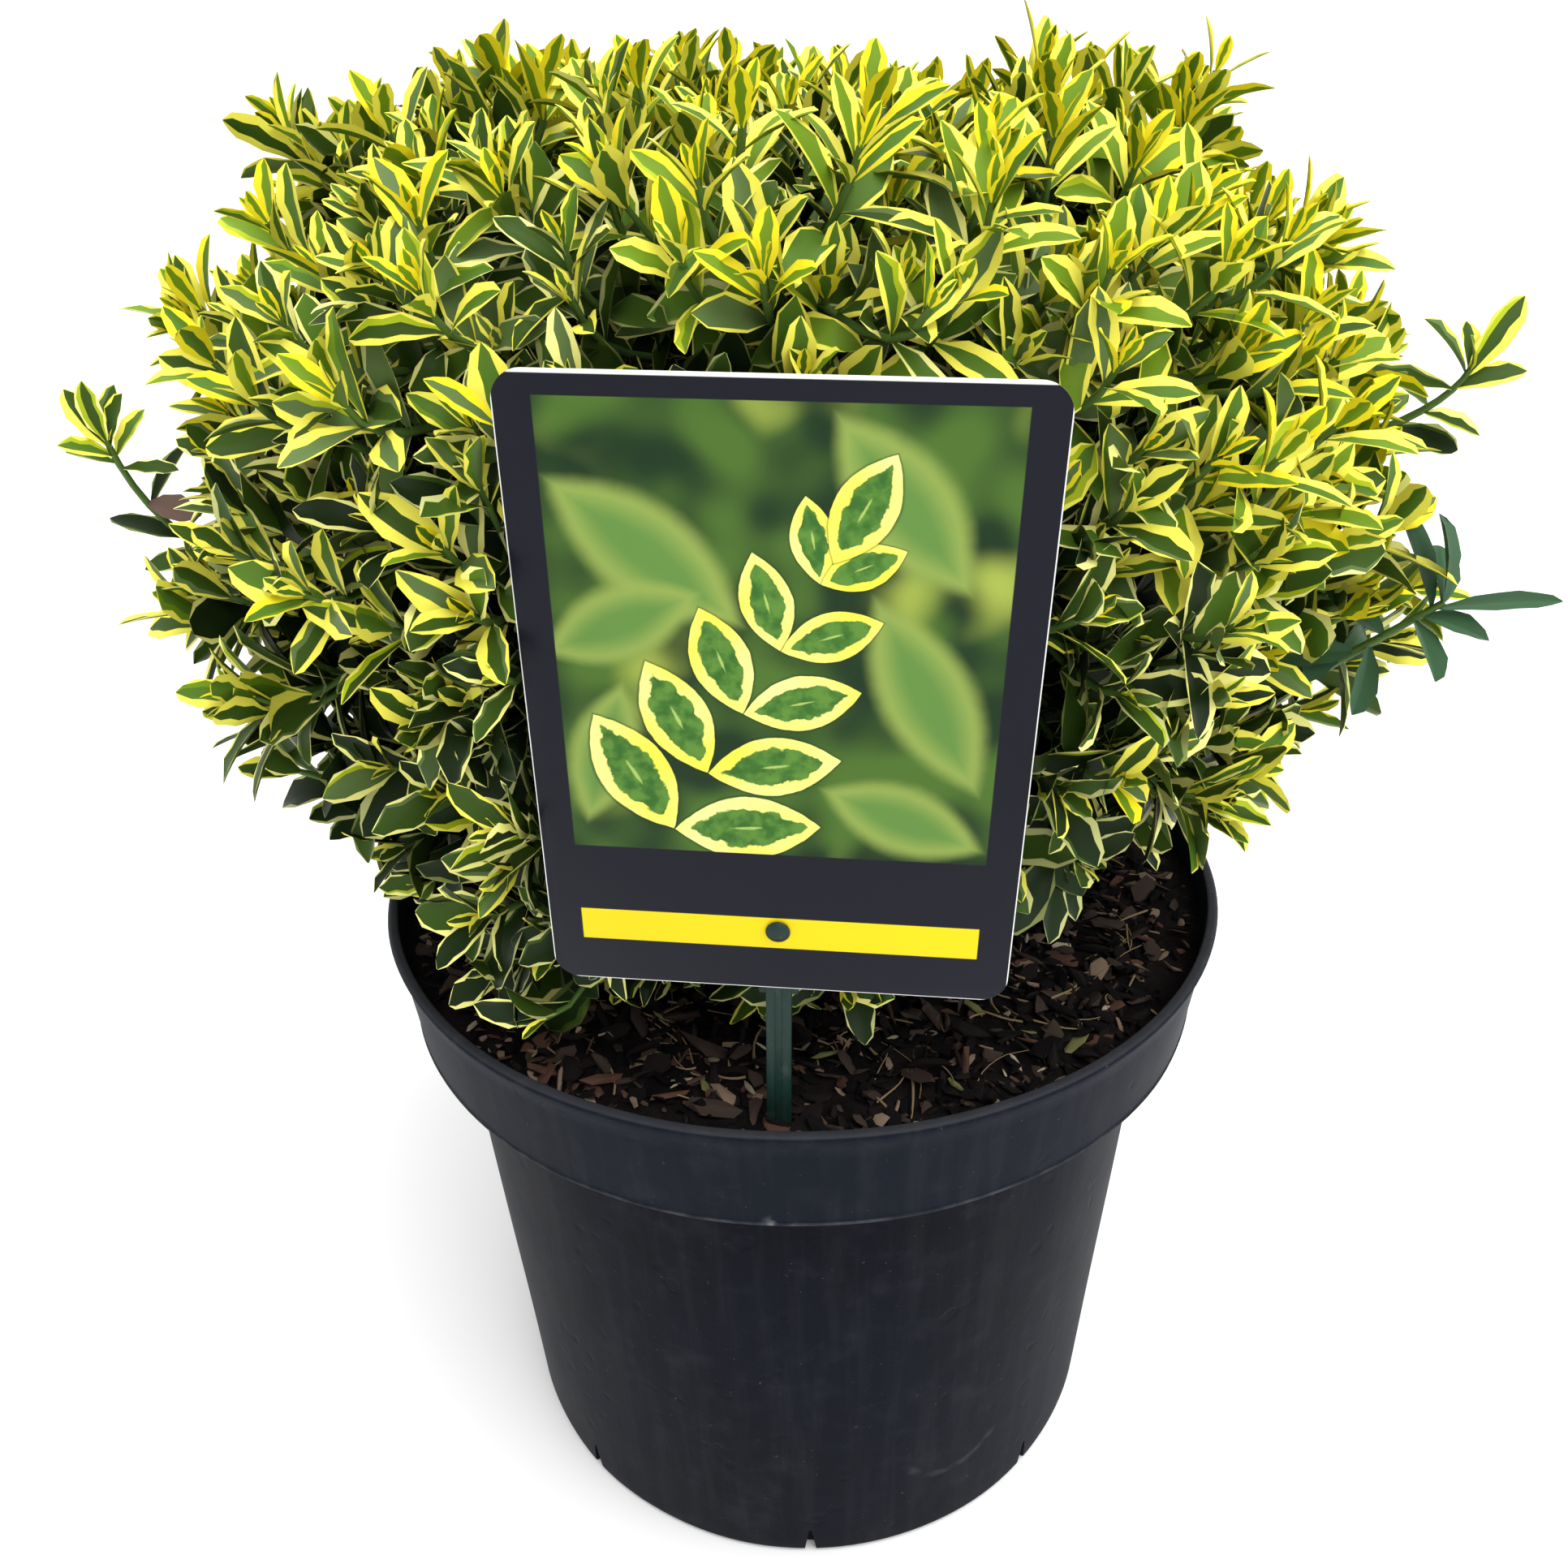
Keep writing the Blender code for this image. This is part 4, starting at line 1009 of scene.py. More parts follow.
def bezier(start, leave, arrive, end, count):
    """Points along a cubic curve, as an array."""
    t = np.linspace(0, 1, count)[:, None]
    s = 1 - t
    start, leave, arrive, end = (np.array(point) for point in (start, leave, arrive, end))
    return s**3 * start + 3 * s * s * t * leave + 3 * s * t * t * arrive + t**3 * end


def unit(vectors):
    """Vectors of length one."""
    return vectors / np.linalg.norm(vectors, axis=-1, keepdims=True)


def sphere_direction(azimuth, elevation):
    """A unit vector from an azimuth and an elevation in degrees."""
    turn, rise = math.radians(azimuth), math.radians(elevation)
    return np.array((math.cos(turn) * math.cos(rise), math.sin(turn) * math.cos(rise), math.sin(rise)))


def crown_reach(directions, radius):
    """How far the crown's outline lies from its centre along unit directions."""
    x, y, z = directions.T
    turn = np.arctan2(y, x)
    wave = sum(size * np.sin(count * turn + lag) for count, size, lag in CROWN_WAVES)
    height = np.where(z > 0, CROWN_UP, CROWN_DOWN)
    power = np.where(z > 0, TOP_POWER, LOW_POWER)
    flat = np.hypot(x, y) / (radius * (1 + wave))
    reach = (flat**power + (np.abs(z) / height) ** power) ** (-1 / power)
    bulge = np.zeros(len(directions))
    for azimuth, elevation, extra, spread in BULGES:
        angle = np.arccos(np.clip(directions @ sphere_direction(azimuth, elevation), -1, 1))
        bulge += extra * np.exp(-((angle / spread) ** 2))
    return reach * (1 + bulge)


def crown_share(points, radius):
    """Each point's distance from the crown's centre, as a share of the outline's."""
    offset = points - CENTRE
    away = np.linalg.norm(offset, axis=1)
    return away / crown_reach(offset / away[:, None], radius)


def to_crown(directions, radius):
    """Directions in space of directions in the rounder space where the masses are laid out."""
    return unit(directions * (1, 1, CROWN_MEAN_HEIGHT / radius))


def foliage_cells():
    """Names, rings and directions of all masses."""
    cells = []
    for ring, count, elevation, first in RINGS:
        for index in range(count):
            name = ring if count == 1 else f"{ring}_{index + 1}"
            cells.append((name, ring, sphere_direction(first + 360 * index / count, elevation)))
    return cells


def label_place():
    """The card's frame."""
    turn = Matrix.Rotation(CARD_YAW, 4, "Z") @ Matrix.Rotation(CARD_LEAN, 4, "X")
    return Matrix.Translation(CARD_FOOT) @ turn @ Matrix.Rotation(CARD_ROLL, 4, "Y")


def card_points(points):
    """Points in the card's own frame."""
    inverse = np.array(label_place().inverted())
    return points @ inverse[:3, :3].T + inverse[:3, 3]


def crosses_card(lines, label, margin=0.0015):
    """Which rows of points lie partly before and partly behind the card's own outline."""
    x, y, z = np.moveaxis(card_points(lines), -1, 0)
    over = (np.abs(x) < label.width / 2 + margin) & (z > -margin) & (z < label.height + margin)
    return np.any(over & (y < 0), axis=1) & np.any(over & (y > 0), axis=1)


def clear(points, settings, margin=0.001):
    """Which points stay clear of the pot, the soil, and the card with the view of its face."""
    x, y, z = card_points(points).T
    label, pot = settings.label, settings.pot
    side = np.abs(x) - label.width / 2
    behind = y > label.thickness / 2 + GAP + STAKE_THICKNESS + margin
    shown = (side < -LABEL_EDGE_COVER) & (z < label.height + LABEL_TOP_SHOW)
    within = (side < margin) & (z < label.height + margin) & (y > -label.thickness - GAP - margin)
    away = np.hypot(points[:, 0], points[:, 1])
    inside = away < pot.rim - LIP_WIDTH - pot.wall - margin
    low = np.where(inside, settings.soil.top + 0.002, pot.height)
    low = np.where(away > pot.rim + margin, pot.height - pot.collar, low)
    return (behind | ~(shown | within)) & (points[:, 2] > low + margin)


def trunk_axis(height):
    """The point on the trunk's leaning axis at a height, and its share of the trunk's length."""
    share = (height - TRUNK_FOOT.z) / (TRUNK_TOP.z - TRUNK_FOOT.z)
    return TRUNK_FOOT.lerp(TRUNK_TOP, share), share


def trunk_radius(share):
    """The trunk's radius at a share of its length."""
    shares, radii = zip(*TRUNK_RADII)
    return float(np.interp(share, shares, radii))


def bough_route(turn, fork_height, tip, heading, count):
    """Points of a bough that leaves the trunk nearly level and ends at its tip along its heading."""
    axis, share = trunk_axis(fork_height)
    out = Vector((math.cos(turn), math.sin(turn), 0.0))
    start = axis + out * trunk_radius(share) * FORK_DEPTH
    leave = start + (out + Vector((0, 0, BOUGH_LIFT))) * BOUGH_SPREAD
    arrive = tip - heading * (tip - start).length * BOUGH_ARRIVAL
    return bezier(start, leave, arrive, tip, count)


def bough_routes(settings, count):
    """Each mass's bough as an array of points, and the green shoot's."""
    routes = {}
    for name, ring, direction in foliage_cells():
        if ring == "top":
            routes[name] = np.array([TRUNK_FOOT.lerp(TRUNK_TOP, share) for share in np.linspace(0, 1, count)])
            continue
        heading = to_crown(direction[None], settings.crown.radius)[0]
        reach = crown_reach(heading[None], settings.crown.radius)[0]
        tip = CROWN_CENTRE + Vector(heading) * reach * BOUGH_TIP_SHARE
        turn = math.atan2(direction[1], direction[0])
        routes[name] = bough_route(turn, FORK_HEIGHTS[ring], tip, Vector(heading), count)
    green = [Vector(point) for point in GREEN_POINTS]
    turn = math.atan2(green[0].y, green[0].x)
    heading = (green[1] - green[0]).normalized()
    routes["green"] = bough_route(turn, GREEN_FORK, green[0], heading, count)
    return routes


def roughened(mesh, depth, scale, lengthwise):
    """Pushes a mesh's corners in and out by noise that runs along Z."""
    for vertex in mesh.vertices:
        x, y, z = vertex.co
        push = noise.noise(Vector((x * scale, y * scale, z * scale * lengthwise)))
        vertex.co += vertex.normal * push * depth
    return mesh


class SPINDLE_OT_pot(bpy.types.Operator):
    """Moulds the pot."""

    bl_idname = "spindle.pot"
    bl_label = "Pot"

    def execute(self, context):
        pot = context.scene.spindle.pot
        shelf = pot.height - pot.collar
        slope = (pot.neck - pot.base) / shelf
        foot = pot.base + slope * BASE_ROUND
        lip = (pot.rim - LIP_ROUND, pot.height - LIP_ROUND)
        inner_lip = (pot.rim - LIP_WIDTH + LIP_INNER_ROUND, pot.height - LIP_INNER_ROUND)
        profile = [(0.0, 0.0), *straight((0.0, 0.0), (pot.base - BASE_ROUND, 0.0), 6)]
        profile += arc((foot - BASE_ROUND, BASE_ROUND), BASE_ROUND, -90, 0, 5)
        shoulder = (pot.neck + SHOULDER_ROUND, shelf - SHOULDER_ROUND)
        profile += straight((foot, BASE_ROUND), (pot.neck, shelf - SHOULDER_ROUND), 26)
        profile += arc(shoulder, SHOULDER_ROUND, 180, 90, 3)
        profile += [(pot.collar_foot - BEAD_RADIUS, shelf)]
        bead = (pot.collar_foot - BEAD_RADIUS + BEAD_INSET, shelf + BEAD_RADIUS)
        profile += arc(bead, BEAD_RADIUS, -80, 60, 5)
        profile += straight((pot.collar_foot, shelf + BEAD_TOP), lip, 8)
        profile += arc(lip, LIP_ROUND, 0, 90, 5)
        profile += arc(inner_lip, LIP_INNER_ROUND, 90, 180, 4)
        inner_rim = (pot.rim - LIP_WIDTH, pot.height - LIP_WIDTH)
        collar_inner = (pot.collar_foot - pot.wall, shelf + pot.wall)
        profile += [inner_rim, *straight(inner_rim, collar_inner, 6), collar_inner]
        profile += [(pot.neck - pot.wall, shelf + pot.wall), (pot.base - pot.wall, pot.wall), (0.0, pot.wall)]
        bm = spun(profile, pot.sides)
        for vertex in bm.verts:
            away = Vector((vertex.co.x, vertex.co.y, 0))
            if away.length > pot.base * 0.9 and vertex.co.z > 0:
                place = (away.x * WAVES_ROUND, away.y * WAVES_ROUND, vertex.co.z * WAVES_UP)
                wave = noise.noise(Vector(place))
                vertex.co += away.normalized() * wave * WALL_WAVE
        mesh = smoothed(mesh_from(bm, "pot_moulded", pot_plastic(pot)), 40)
        bm = bmesh.new()
        for index in range(DRAIN_COUNT):
            size = (DRAIN_DEPTH + 2 * BASE_ROUND, DRAIN_WIDTH, 2 * DRAIN_HEIGHT)
            corners = box(bm, size, (pot.base - DRAIN_DEPTH + size[0] / 2, 0, 0))
            for corner in corners:
                if corner.co.z > 0:
                    corner.co.y *= DRAIN_TOP_SHARE
            turn = Matrix.Rotation(DRAIN_FIRST + math.tau * index / DRAIN_COUNT, 3, "Z")
            bmesh.ops.rotate(bm, verts=corners, matrix=turn)
        piece("pot_moulded", combined(mesh, [mesh_from(bm, "drains")], "DIFFERENCE"), "pot_plastic", "pot")
        return {"FINISHED"}


class SPINDLE_OT_soil(bpy.types.Operator):
    """Fills the pot and spreads bark chips and fibres over it."""

    bl_idname = "spindle.soil"
    bl_label = "Soil and mulch"

    def execute(self, context):
        settings = context.scene.spindle
        self.fill(settings)
        self.spread_chips(settings)
        self.lay_fibres(settings)
        return {"FINISHED"}

    def surface(self, settings, x, y):
        """The height of the soil's surface: low mounds with crumbs."""
        mound = noise.noise(Vector((x, y, 0.0)) * MOUNDS[0])
        crumb = noise.noise(Vector((x, y, 0.5)) * CRUMBS[0])
        return settings.soil.top + MOUNDS[1] * mound + CRUMBS[1] * crumb

    def fill(self, settings):
        """The filling up to its uneven surface."""
        pot = settings.pot
        shelf = pot.height - pot.collar + pot.wall
        shoulder = pot.collar_foot - pot.wall - 1.5 * GAP
        edge = (shoulder + (pot.rim - pot.collar_foot) * SOIL_EDGE_SHARE, settings.soil.top)
        middle = (0.0, settings.soil.top)
        profile = [(0.0, pot.wall + GAP), (pot.base - pot.wall - GAP, pot.wall + GAP)]
        profile += [(pot.neck - pot.wall - 2 * GAP, shelf + GAP), (shoulder, shelf + GAP)]
        profile += [edge, *straight(edge, middle, SOIL_RINGS), middle]
        bm = spun(profile, SOIL_SIDES)
        for vertex in bm.verts:
            if vertex.co.z > settings.soil.top - GAP:
                vertex.co.z = self.surface(settings, vertex.co.x, vertex.co.y)
        mesh = smoothed(mesh_from(bm, "soil_surface", earth(settings.soil)), 60)
        piece("soil_surface", mesh, "bark_mulch", "soil")

    def shards(self):
        """A few splinters with uneven corners, as arrays of points, with the faces they share."""
        shapes = []
        for seed in range(CHIP_SHAPES):
            rng = random.Random(seed)
            bm = bmesh.new()
            bmesh.ops.create_icosphere(bm, subdivisions=1, radius=0.5)
            shapes.append([vertex.co * rng.uniform(*CHIP_CORNERS) for vertex in bm.verts])
            faces = np.array([[corner.index for corner in face.verts] for face in bm.faces])
            bm.free()
        return np.array(shapes), faces

    def spread_chips(self, settings):
        """Bark chips that lie over each other on the soil."""
        soil = settings.soil
        shapes, faces = self.shards()
        rng = random.Random(CHIP_SEED)
        points, corners, numbers = [], [], []
        rim = settings.pot.rim - LIP_WIDTH - settings.pot.wall
        for index in range(soil.chips):
            tone = rng.choices(range(len(CHIPS)), [weight for _, _, weight in CHIPS])[0]
            length = soil.chip * min(rng.lognormvariate(*CHIP_LENGTHS), CHIP_LONGEST)
            if tone >= FIRST_SMALL_CHIP:
                length *= SMALL_CHIP
            size = (length, length * rng.uniform(*CHIP_WIDTHS), length * rng.uniform(*CHIP_THICKNESSES))
            away = (rim - length / 2) * math.sqrt(rng.random())
            turn = rng.uniform(0, math.tau)
            x, y = away * math.cos(turn), away * math.sin(turn)
            pitch, roll = (rng.gauss(0, spread) for spread in CHIP_TILTS)
            tilt = Matrix.Rotation(pitch, 3, "X") @ Matrix.Rotation(roll, 3, "Y")
            lie = Matrix.Rotation(rng.uniform(0, math.tau), 3, "Z") @ tilt @ Matrix.Diagonal(size)
            height = self.surface(settings, x, y) + size[2] * CHIP_BEDDED + rng.uniform(0.0, CHIP_LIFT)
            points.append(shapes[index % len(shapes)] @ np.array(lie).T + (x, y, height))
            corners.append(faces + index * shapes.shape[1])
            numbers.append([tone] * len(faces))
        materials = [chip_bark(name, colour) for name, colour, _ in CHIPS]
        mesh = joined("mulch_chips", points, corners, numbers, materials)
        mesh.shade_flat()
        piece("mulch_chips", mesh, "bark_mulch", "soil")

    def lay_fibres(self, settings):
        """Thin bent fibres on the chips."""
        rng = random.Random(FIBRE_SEED)
        rim = settings.pot.rim - 2 * settings.pot.wall - FIBRE_MARGIN
        routes = []
        for _ in range(settings.soil.fibres):
            length, turn = rng.lognormvariate(*FIBRE_LENGTHS), rng.uniform(0, math.tau)
            away = (rim - length / 2) * math.sqrt(rng.random())
            start = Vector((away * math.cos(turn), away * math.sin(turn), 0))
            heading = Matrix.Rotation(rng.uniform(0, math.tau), 3, "Z") @ Vector((length, 0, 0))
            bow = Vector((-heading.y, heading.x, 0)) * rng.gauss(0, FIBRE_BOW)
            bend = (start - heading / 6 + bow, start + heading / 6 + bow)
            path = bezier(start - heading / 2, *bend, start + heading / 2, FIBRE_POINTS)
            lift = rng.uniform(*FIBRE_LIFTS)
            for point in path:
                point[2] = self.surface(settings, point[0], point[1]) + lift
            thick = rng.uniform(*FIBRE_RADII)
            tone = rng.choices(range(len(FIBRES)), [weight for _, _, weight in FIBRES])[0]
            routes.append((path, np.linspace(thick, thick * 0.5, FIBRE_POINTS), tone))
        materials = [chip_bark(name, colour) for name, colour, _ in FIBRES]
        piece("mulch_fibres", tubes("mulch_fibres", routes, 0, materials), "bark_mulch", "soil")


class SPINDLE_OT_limbs(bpy.types.Operator):
    """Grows the trunk and boughs with their bark."""

    bl_idname = "spindle.limbs"
    bl_label = "Trunk and boughs"

    def execute(self, context):
        settings = context.scene.spindle
        limbs = settings.limbs
        shares = np.linspace(0, 1, TRUNK_POINTS)
        points = np.array([TRUNK_FOOT.lerp(TRUNK_TOP, share) for share in shares])
        radii = [trunk_radius(share) for share in shares]
        mesh = tubes("trunk_bark", [(points, radii, 0)], 9, [bark("trunk_bark", limbs, limbs.bark)])
        piece("trunk_bark", roughened(mesh, limbs.relief, TRUNK_FURROWS, 0.14), "stem_bark", "trunk")
        routes = bough_routes(settings, BOUGH_POINTS)
        skin = bark("bough_bark", limbs, limbs.twig)
        for ring in ("upper", "middle", "lower", "green"):
            names = [name for name in routes if name.startswith(ring)]
            taper = np.linspace(BOUGH_ROOT_RADIUS, BOUGH_TIP_RADIUS, BOUGH_POINTS)
            taper[1:-1:5] *= BOUGH_SWELLING
            mesh = tubes(f"boughs_{ring}", [(routes[name], taper, 0) for name in names], 3, [skin])
            mesh = roughened(mesh, limbs.relief * 0.4, BOUGH_FURROWS, 0.2)
            piece(f"boughs_{ring}", mesh, "stem_bark", *[f"bough_{name}" for name in names])
        return {"FINISHED"}


def shoot_targets(settings, rng):
    """Where shoots end on the crown, spread evenly by a spiral, with the mass each belongs to."""
    crown = settings.crown
    order = np.arange(crown.shoots) + 0.5
    rise = 1 - 2 * order / crown.shoots
    turn = GOLDEN_TURN * order
    flat = np.sqrt(1 - rise**2)
    laid = np.column_stack((flat * np.cos(turn), flat * np.sin(turn), rise))
    laid = unit(laid + rng.normal(0, AIM_SPREAD, laid.shape))
    laid = laid[rng.random(len(laid)) < np.clip(THINNED_SIDES + laid[:, 2] * THINNED_RISE, THINNED_FEWEST, 1)]
    outward = to_crown(laid, crown.radius)
    lump = np.array([noise.noise(Vector(direction) * LUMP_SCALE) for direction in laid])
    hole = np.array([noise.noise(Vector(direction) * HOLE_SCALE) for direction in laid])
    share = rng.uniform(*OUTER_SHARES, len(laid)) + lump * LUMP_DEPTH
    inner = (rng.random(len(laid)) < INNER_PORTION) | (hole < HOLE_LEVEL + HOLE_RISE * laid[:, 2])
    share[inner] = rng.uniform(*INNER_SHARES, inner.sum())
    targets = CENTRE + outward * (crown_reach(outward, crown.radius) * share)[:, None]
    tufts = np.repeat(np.array(TUFTS), TUFT_SHOOTS, axis=0)
    tufts[:, :2] += rng.normal(0, TUFT_SPREAD, (len(tufts), 2))
    tufts[:, 2] += TUFT_RISE - np.tile(np.arange(TUFT_SHOOTS) * TUFT_SPREAD, len(TUFTS))
    flat_tufts = (tufts - CENTRE) / (1, 1, CROWN_MEAN_HEIGHT / crown.radius)
    targets = np.concatenate((targets, tufts))
    free = np.arange(len(targets)) >= len(outward)
    laid = np.concatenate((laid, unit(flat_tufts)))
    own = np.argmax(laid @ np.array([cell[2] for cell in foliage_cells()]).T, axis=1)
    ahead = targets[:, 1] < FRONT_LIMIT + FRONT_EASE
    over = (targets[ahead, 1] - FRONT_LIMIT - FRONT_EASE) / FRONT_EASE
    targets[ahead, 1] = FRONT_LIMIT + FRONT_EASE * np.exp(over)
    for _ in range(PULL_STEPS):
        blocked = ~clear(targets, settings)
        targets[blocked] += (CENTRE - targets[blocked]) * PULL_STEP
    kept = clear(targets, settings)
    return targets[kept], laid[kept], own[kept], free[kept]


def shoot_paths(settings, rng, lone):
    """Every shoot of the crown as its path and mass, and every twig that carries shoots."""
    routes = bough_routes(settings, PATH_POINTS)
    targets, laid, own, free = shoot_targets(settings, rng)
    shoots, twigs = [], []
    for number, (name, _, direction) in enumerate(foliage_cells()):
        mine = np.flatnonzero(own == number)
        if not len(mine):
            continue
        heading = to_crown(direction[None], settings.crown.radius)[0]
        hub = CENTRE + heading * crown_reach(heading[None], settings.crown.radius)[0] * HUB_SHARE
        tip = routes[name][-1]
        along = unit(tip - routes[name][-2])
        bend = (tip + along * STEM_BEND[0], hub - heading * STEM_BEND[1])
        stem = bezier(tip - along * STEM_OVERLAP, *bend, hub, PATH_POINTS)
        twigs.append((name, stem, (BOUGH_TIP_RADIUS, TWIG_RADII[0])))
        ends = [hub + (targets[mine].mean(axis=0) - hub) * 0.5]
        for _ in range(TWIGS_PER_MASS):
            away = np.min([np.linalg.norm(targets[mine] - end, axis=1) for end in ends], axis=0)
            far = targets[mine][np.argmax(away)]
            ends.append(CENTRE + (far - CENTRE) * TWIG_REACH)
        leave = hub + heading * TWIG_BEND[0]
        arrivals = [end - unit(end - CENTRE) * TWIG_BEND[1] for end in ends]
        paths = [bezier(hub, leave, arrive, end, PATH_POINTS) for arrive, end in zip(arrivals, ends)]
        twigs += [(name, path, TWIG_RADII) for path in paths]
        for target, place, tuft in zip(targets[mine], laid[mine], free[mine]):
            outward = unit(target - CENTRE)
            lift = settings.crown.lift * (LIFT_SIDES + LIFT_RISE * place[2])
            grow = unit(outward + np.array((0, 0, lift)) + rng.normal(0, GROW_SPREAD, 3))
            top = target - grow * LEAF_PAIRS[1][2] * TIP_LEAF_SHARE
            nearest = min(paths, key=lambda path: np.linalg.norm(path[-1] - top))
            apart = np.abs(np.linalg.norm(nearest - top, axis=1) - FORK_DISTANCE)
            fork = int(np.argmin(apart[:-1]))
            start = nearest[fork]
            along = unit(nearest[fork + 1] - start)
            length = np.linalg.norm(top - start)
            bend = (start + along * length * SHOOT_BEND[0], top - grow * length * SHOOT_BEND[1])
            path = bezier(start, *bend, top, PATH_POINTS)
            if beside_lone(path[-1:], lone, LONE_ROOM)[0] or crosses_card(path[None], settings.label)[0]:
                continue
            if np.all(clear(path[2:], settings)):
                shoots.append({"mass": name, "path": path, "free": tuft})
    return shoots, twigs


def lone_shoots(settings):
    """The shoots that stand out of the crown, and the plain green one."""
    hubs = {name: route[-1] for name, route in bough_routes(settings, PATH_POINTS).items()}
    lines = {name: [hubs[name], *points] for name, points in LONG_SHOOTS.items()}
    lines["green"] = GREEN_POINTS
    shoots = []
    for name, points in lines.items():
        points = [np.array(point, float) for point in points]
        leave = points[1] - (points[2] - points[0]) * LONE_BEND[0]
        arrive = points[-2] + (points[-2] - points[-1]) * LONE_BEND[1]
        path = bezier(points[0], leave, arrive, points[-1], 2 * PATH_POINTS)
        shoots.append({"mass": name, "path": path, "free": True, "leaves": LONE_LEAVES[name]})
    return shoots


def beside_lone(points, lone, room):
    """Which points lie within a distance of the outer half of a lone shoot."""
    stems = np.concatenate([shoot["path"][PATH_POINTS:] for shoot in lone])
    apart = np.linalg.norm(points[:, None] - stems[None], axis=-1)
    return apart.min(axis=1) < room


def leaf_outline(share):
    """Half the width of a leaf at a share of its length, 1 where it is widest."""
    widest = WIDEST_PLACE**ROOT_POWER * (1 - WIDEST_PLACE) ** TIP_POWER
    return share**ROOT_POWER * (1 - share) ** TIP_POWER / widest


def leaf_shape(rows, bounds, seed):
    """A flat leaf: each corner's share along it and place across it, its faces, and their columns.

    The second half of the shapes has thin margins.
    """
    rng = random.Random(seed)
    if seed >= LEAF_SHAPES // 2:
        bounds = [1 - (1 - bound) * THIN_MARGIN for bound in bounds]
    half = len(bounds) + 1
    bm = bmesh.new()
    bmesh.ops.create_grid(bm, x_segments=2 * half, y_segments=len(rows) - 1, size=0.5)
    last = len(rows) - 1
    reach, edge = {}, {}
    for side in (-1, 1):
        zigzag = rng.choice((-1, 1))
        for row in range(len(rows)):
            edge[side, row] = 1 + TOOTH * side * (-1) ** row + rng.uniform(-EDGE_SPREAD, EDGE_SPREAD)
            ragged = 1 + zigzag * (-1) ** row * rng.uniform(*RAGGED_SHARES) * RAGGED
            ragged *= rng.uniform(*RAGGED_TIPS) if row == last else 1.0
            reach[side, row] = [1.0, *[min(bound * ragged, BOUND_MOST) for bound in reversed(bounds)], 0.0]
    along, across = [], []
    for vertex in bm.verts:
        column = round((vertex.co.x + 0.5) * 2 * half)
        row = round((vertex.co.y + 0.5) * last)
        side = -1 if column < half else 1
        width = {0: ROOT_WIDTH, last: TIP_WIDTH}.get(row, leaf_outline(rows[row]) * edge[side, row])
        outer = 0 < row < last and column in (0, 2 * half)
        along.append(rows[row] + (EDGE_SHIFT * side if outer else 0.0))
        across.append(side * width * reach[side, row][min(column, 2 * half - column)])
    faces = [[corner.index for corner in face.verts] for face in bm.faces]
    columns = [int((face.calc_center_median().x + 0.5) * 2 * half) for face in bm.faces]
    bm.free()
    return np.array(along), np.array(across), np.array(faces), np.array(columns)


MARGINS = ("golden", "yellow", "pale", "lime", "cream", "painted_shade", "painted_deep_shade")
MIDDLES = ("fresh", "leaf", "painted_sheen_grey", "dark", "deep")
# How a leaf's age, its painted shade and chance count for its margin, its middle and its zones, and the
# bounds
MARGIN_AGE_AND_PAINTED_SHADE = (0.62, 0.50, 0.10)
MARGIN_BOUNDS = (0.19, 0.49, 0.64, 0.77, 0.92)
MARGINS_BY_AGE_AND_PAINTED_SHADE = ("golden", "yellow", "pale", "cream", "painted_shade", "painted_deep_shade")
MIDDLE_AGE_AND_PAINTED_SHADE = (0.42, 0.76, 0.15)
MIDDLE_BOUNDS = (0.20, 0.42, 0.50, 0.80)
ZONE_AGE_AND_PAINTED_SHADE = (0.50, 0.52, 0.22)
ZONE_BOUNDS = (0.42, 0.52, 0.66)
LIMED_PORTION = 0.50
# The tints across a leaf, column by column
FINE_ORDER = ("margin", "zone", "middle", "middle", "other", "margin")
COARSE_ORDER = ("margin", "middle", "middle", "margin")


def leaf_materials(leaf):
    """Margins, then middles, then the dead leaf's."""
    names = [*MARGINS, *MIDDLES, "withered"]
    return [leaf_skin(f"leaf_{name}", getattr(leaf, name)) for name in names]


def age_and_painted_shade(rng, age, sun_and_painted_light, weights):
    """How far a leaf's tints move towards old and shaded tones, by its age, its painted shade and chance."""
    by_age, by_shade, spread = weights
    return age * by_age + (1 - sun_and_painted_light) * by_shade + rng.normal(0, spread)


def tints(rng, age, sun_and_painted_light):
    """A leaf's tints by its age and how sunny its place is, with painted light and shade: margin, each half's
    zone, and middle.
    """
    # The margin's tone, and at the end its width, follow the leaf's age and its painted shade
    wear = age_and_painted_shade(rng, age, sun_and_painted_light, MARGIN_AGE_AND_PAINTED_SHADE)
    margin = MARGINS.index(MARGINS_BY_AGE_AND_PAINTED_SHADE[np.digitize(wear, MARGIN_BOUNDS)])
    middle = len(MARGINS) + int(np.digitize(age_and_painted_shade(rng, age, sun_and_painted_light, MIDDLE_AGE_AND_PAINTED_SHADE), MIDDLE_BOUNDS))
    zones = []
    for _ in range(2):
        breadth = age_and_painted_shade(rng, age, sun_and_painted_light, ZONE_AGE_AND_PAINTED_SHADE)
        limed = MARGINS.index("lime") if rng.random() < LIMED_PORTION else margin
        choices = (margin, limed, max(middle - 1, len(MARGINS)), middle)
        zones.append(choices[np.digitize(breadth, ZONE_BOUNDS)])
    shape = int(rng.integers(LEAF_SHAPES // 2)) + (LEAF_SHAPES // 2 if wear > THIN_AGE_AND_PAINTED_SHADE else 0)
    return {"margin": margin, "zone": zones[0], "other": zones[1], "middle": middle, "shape": shape}


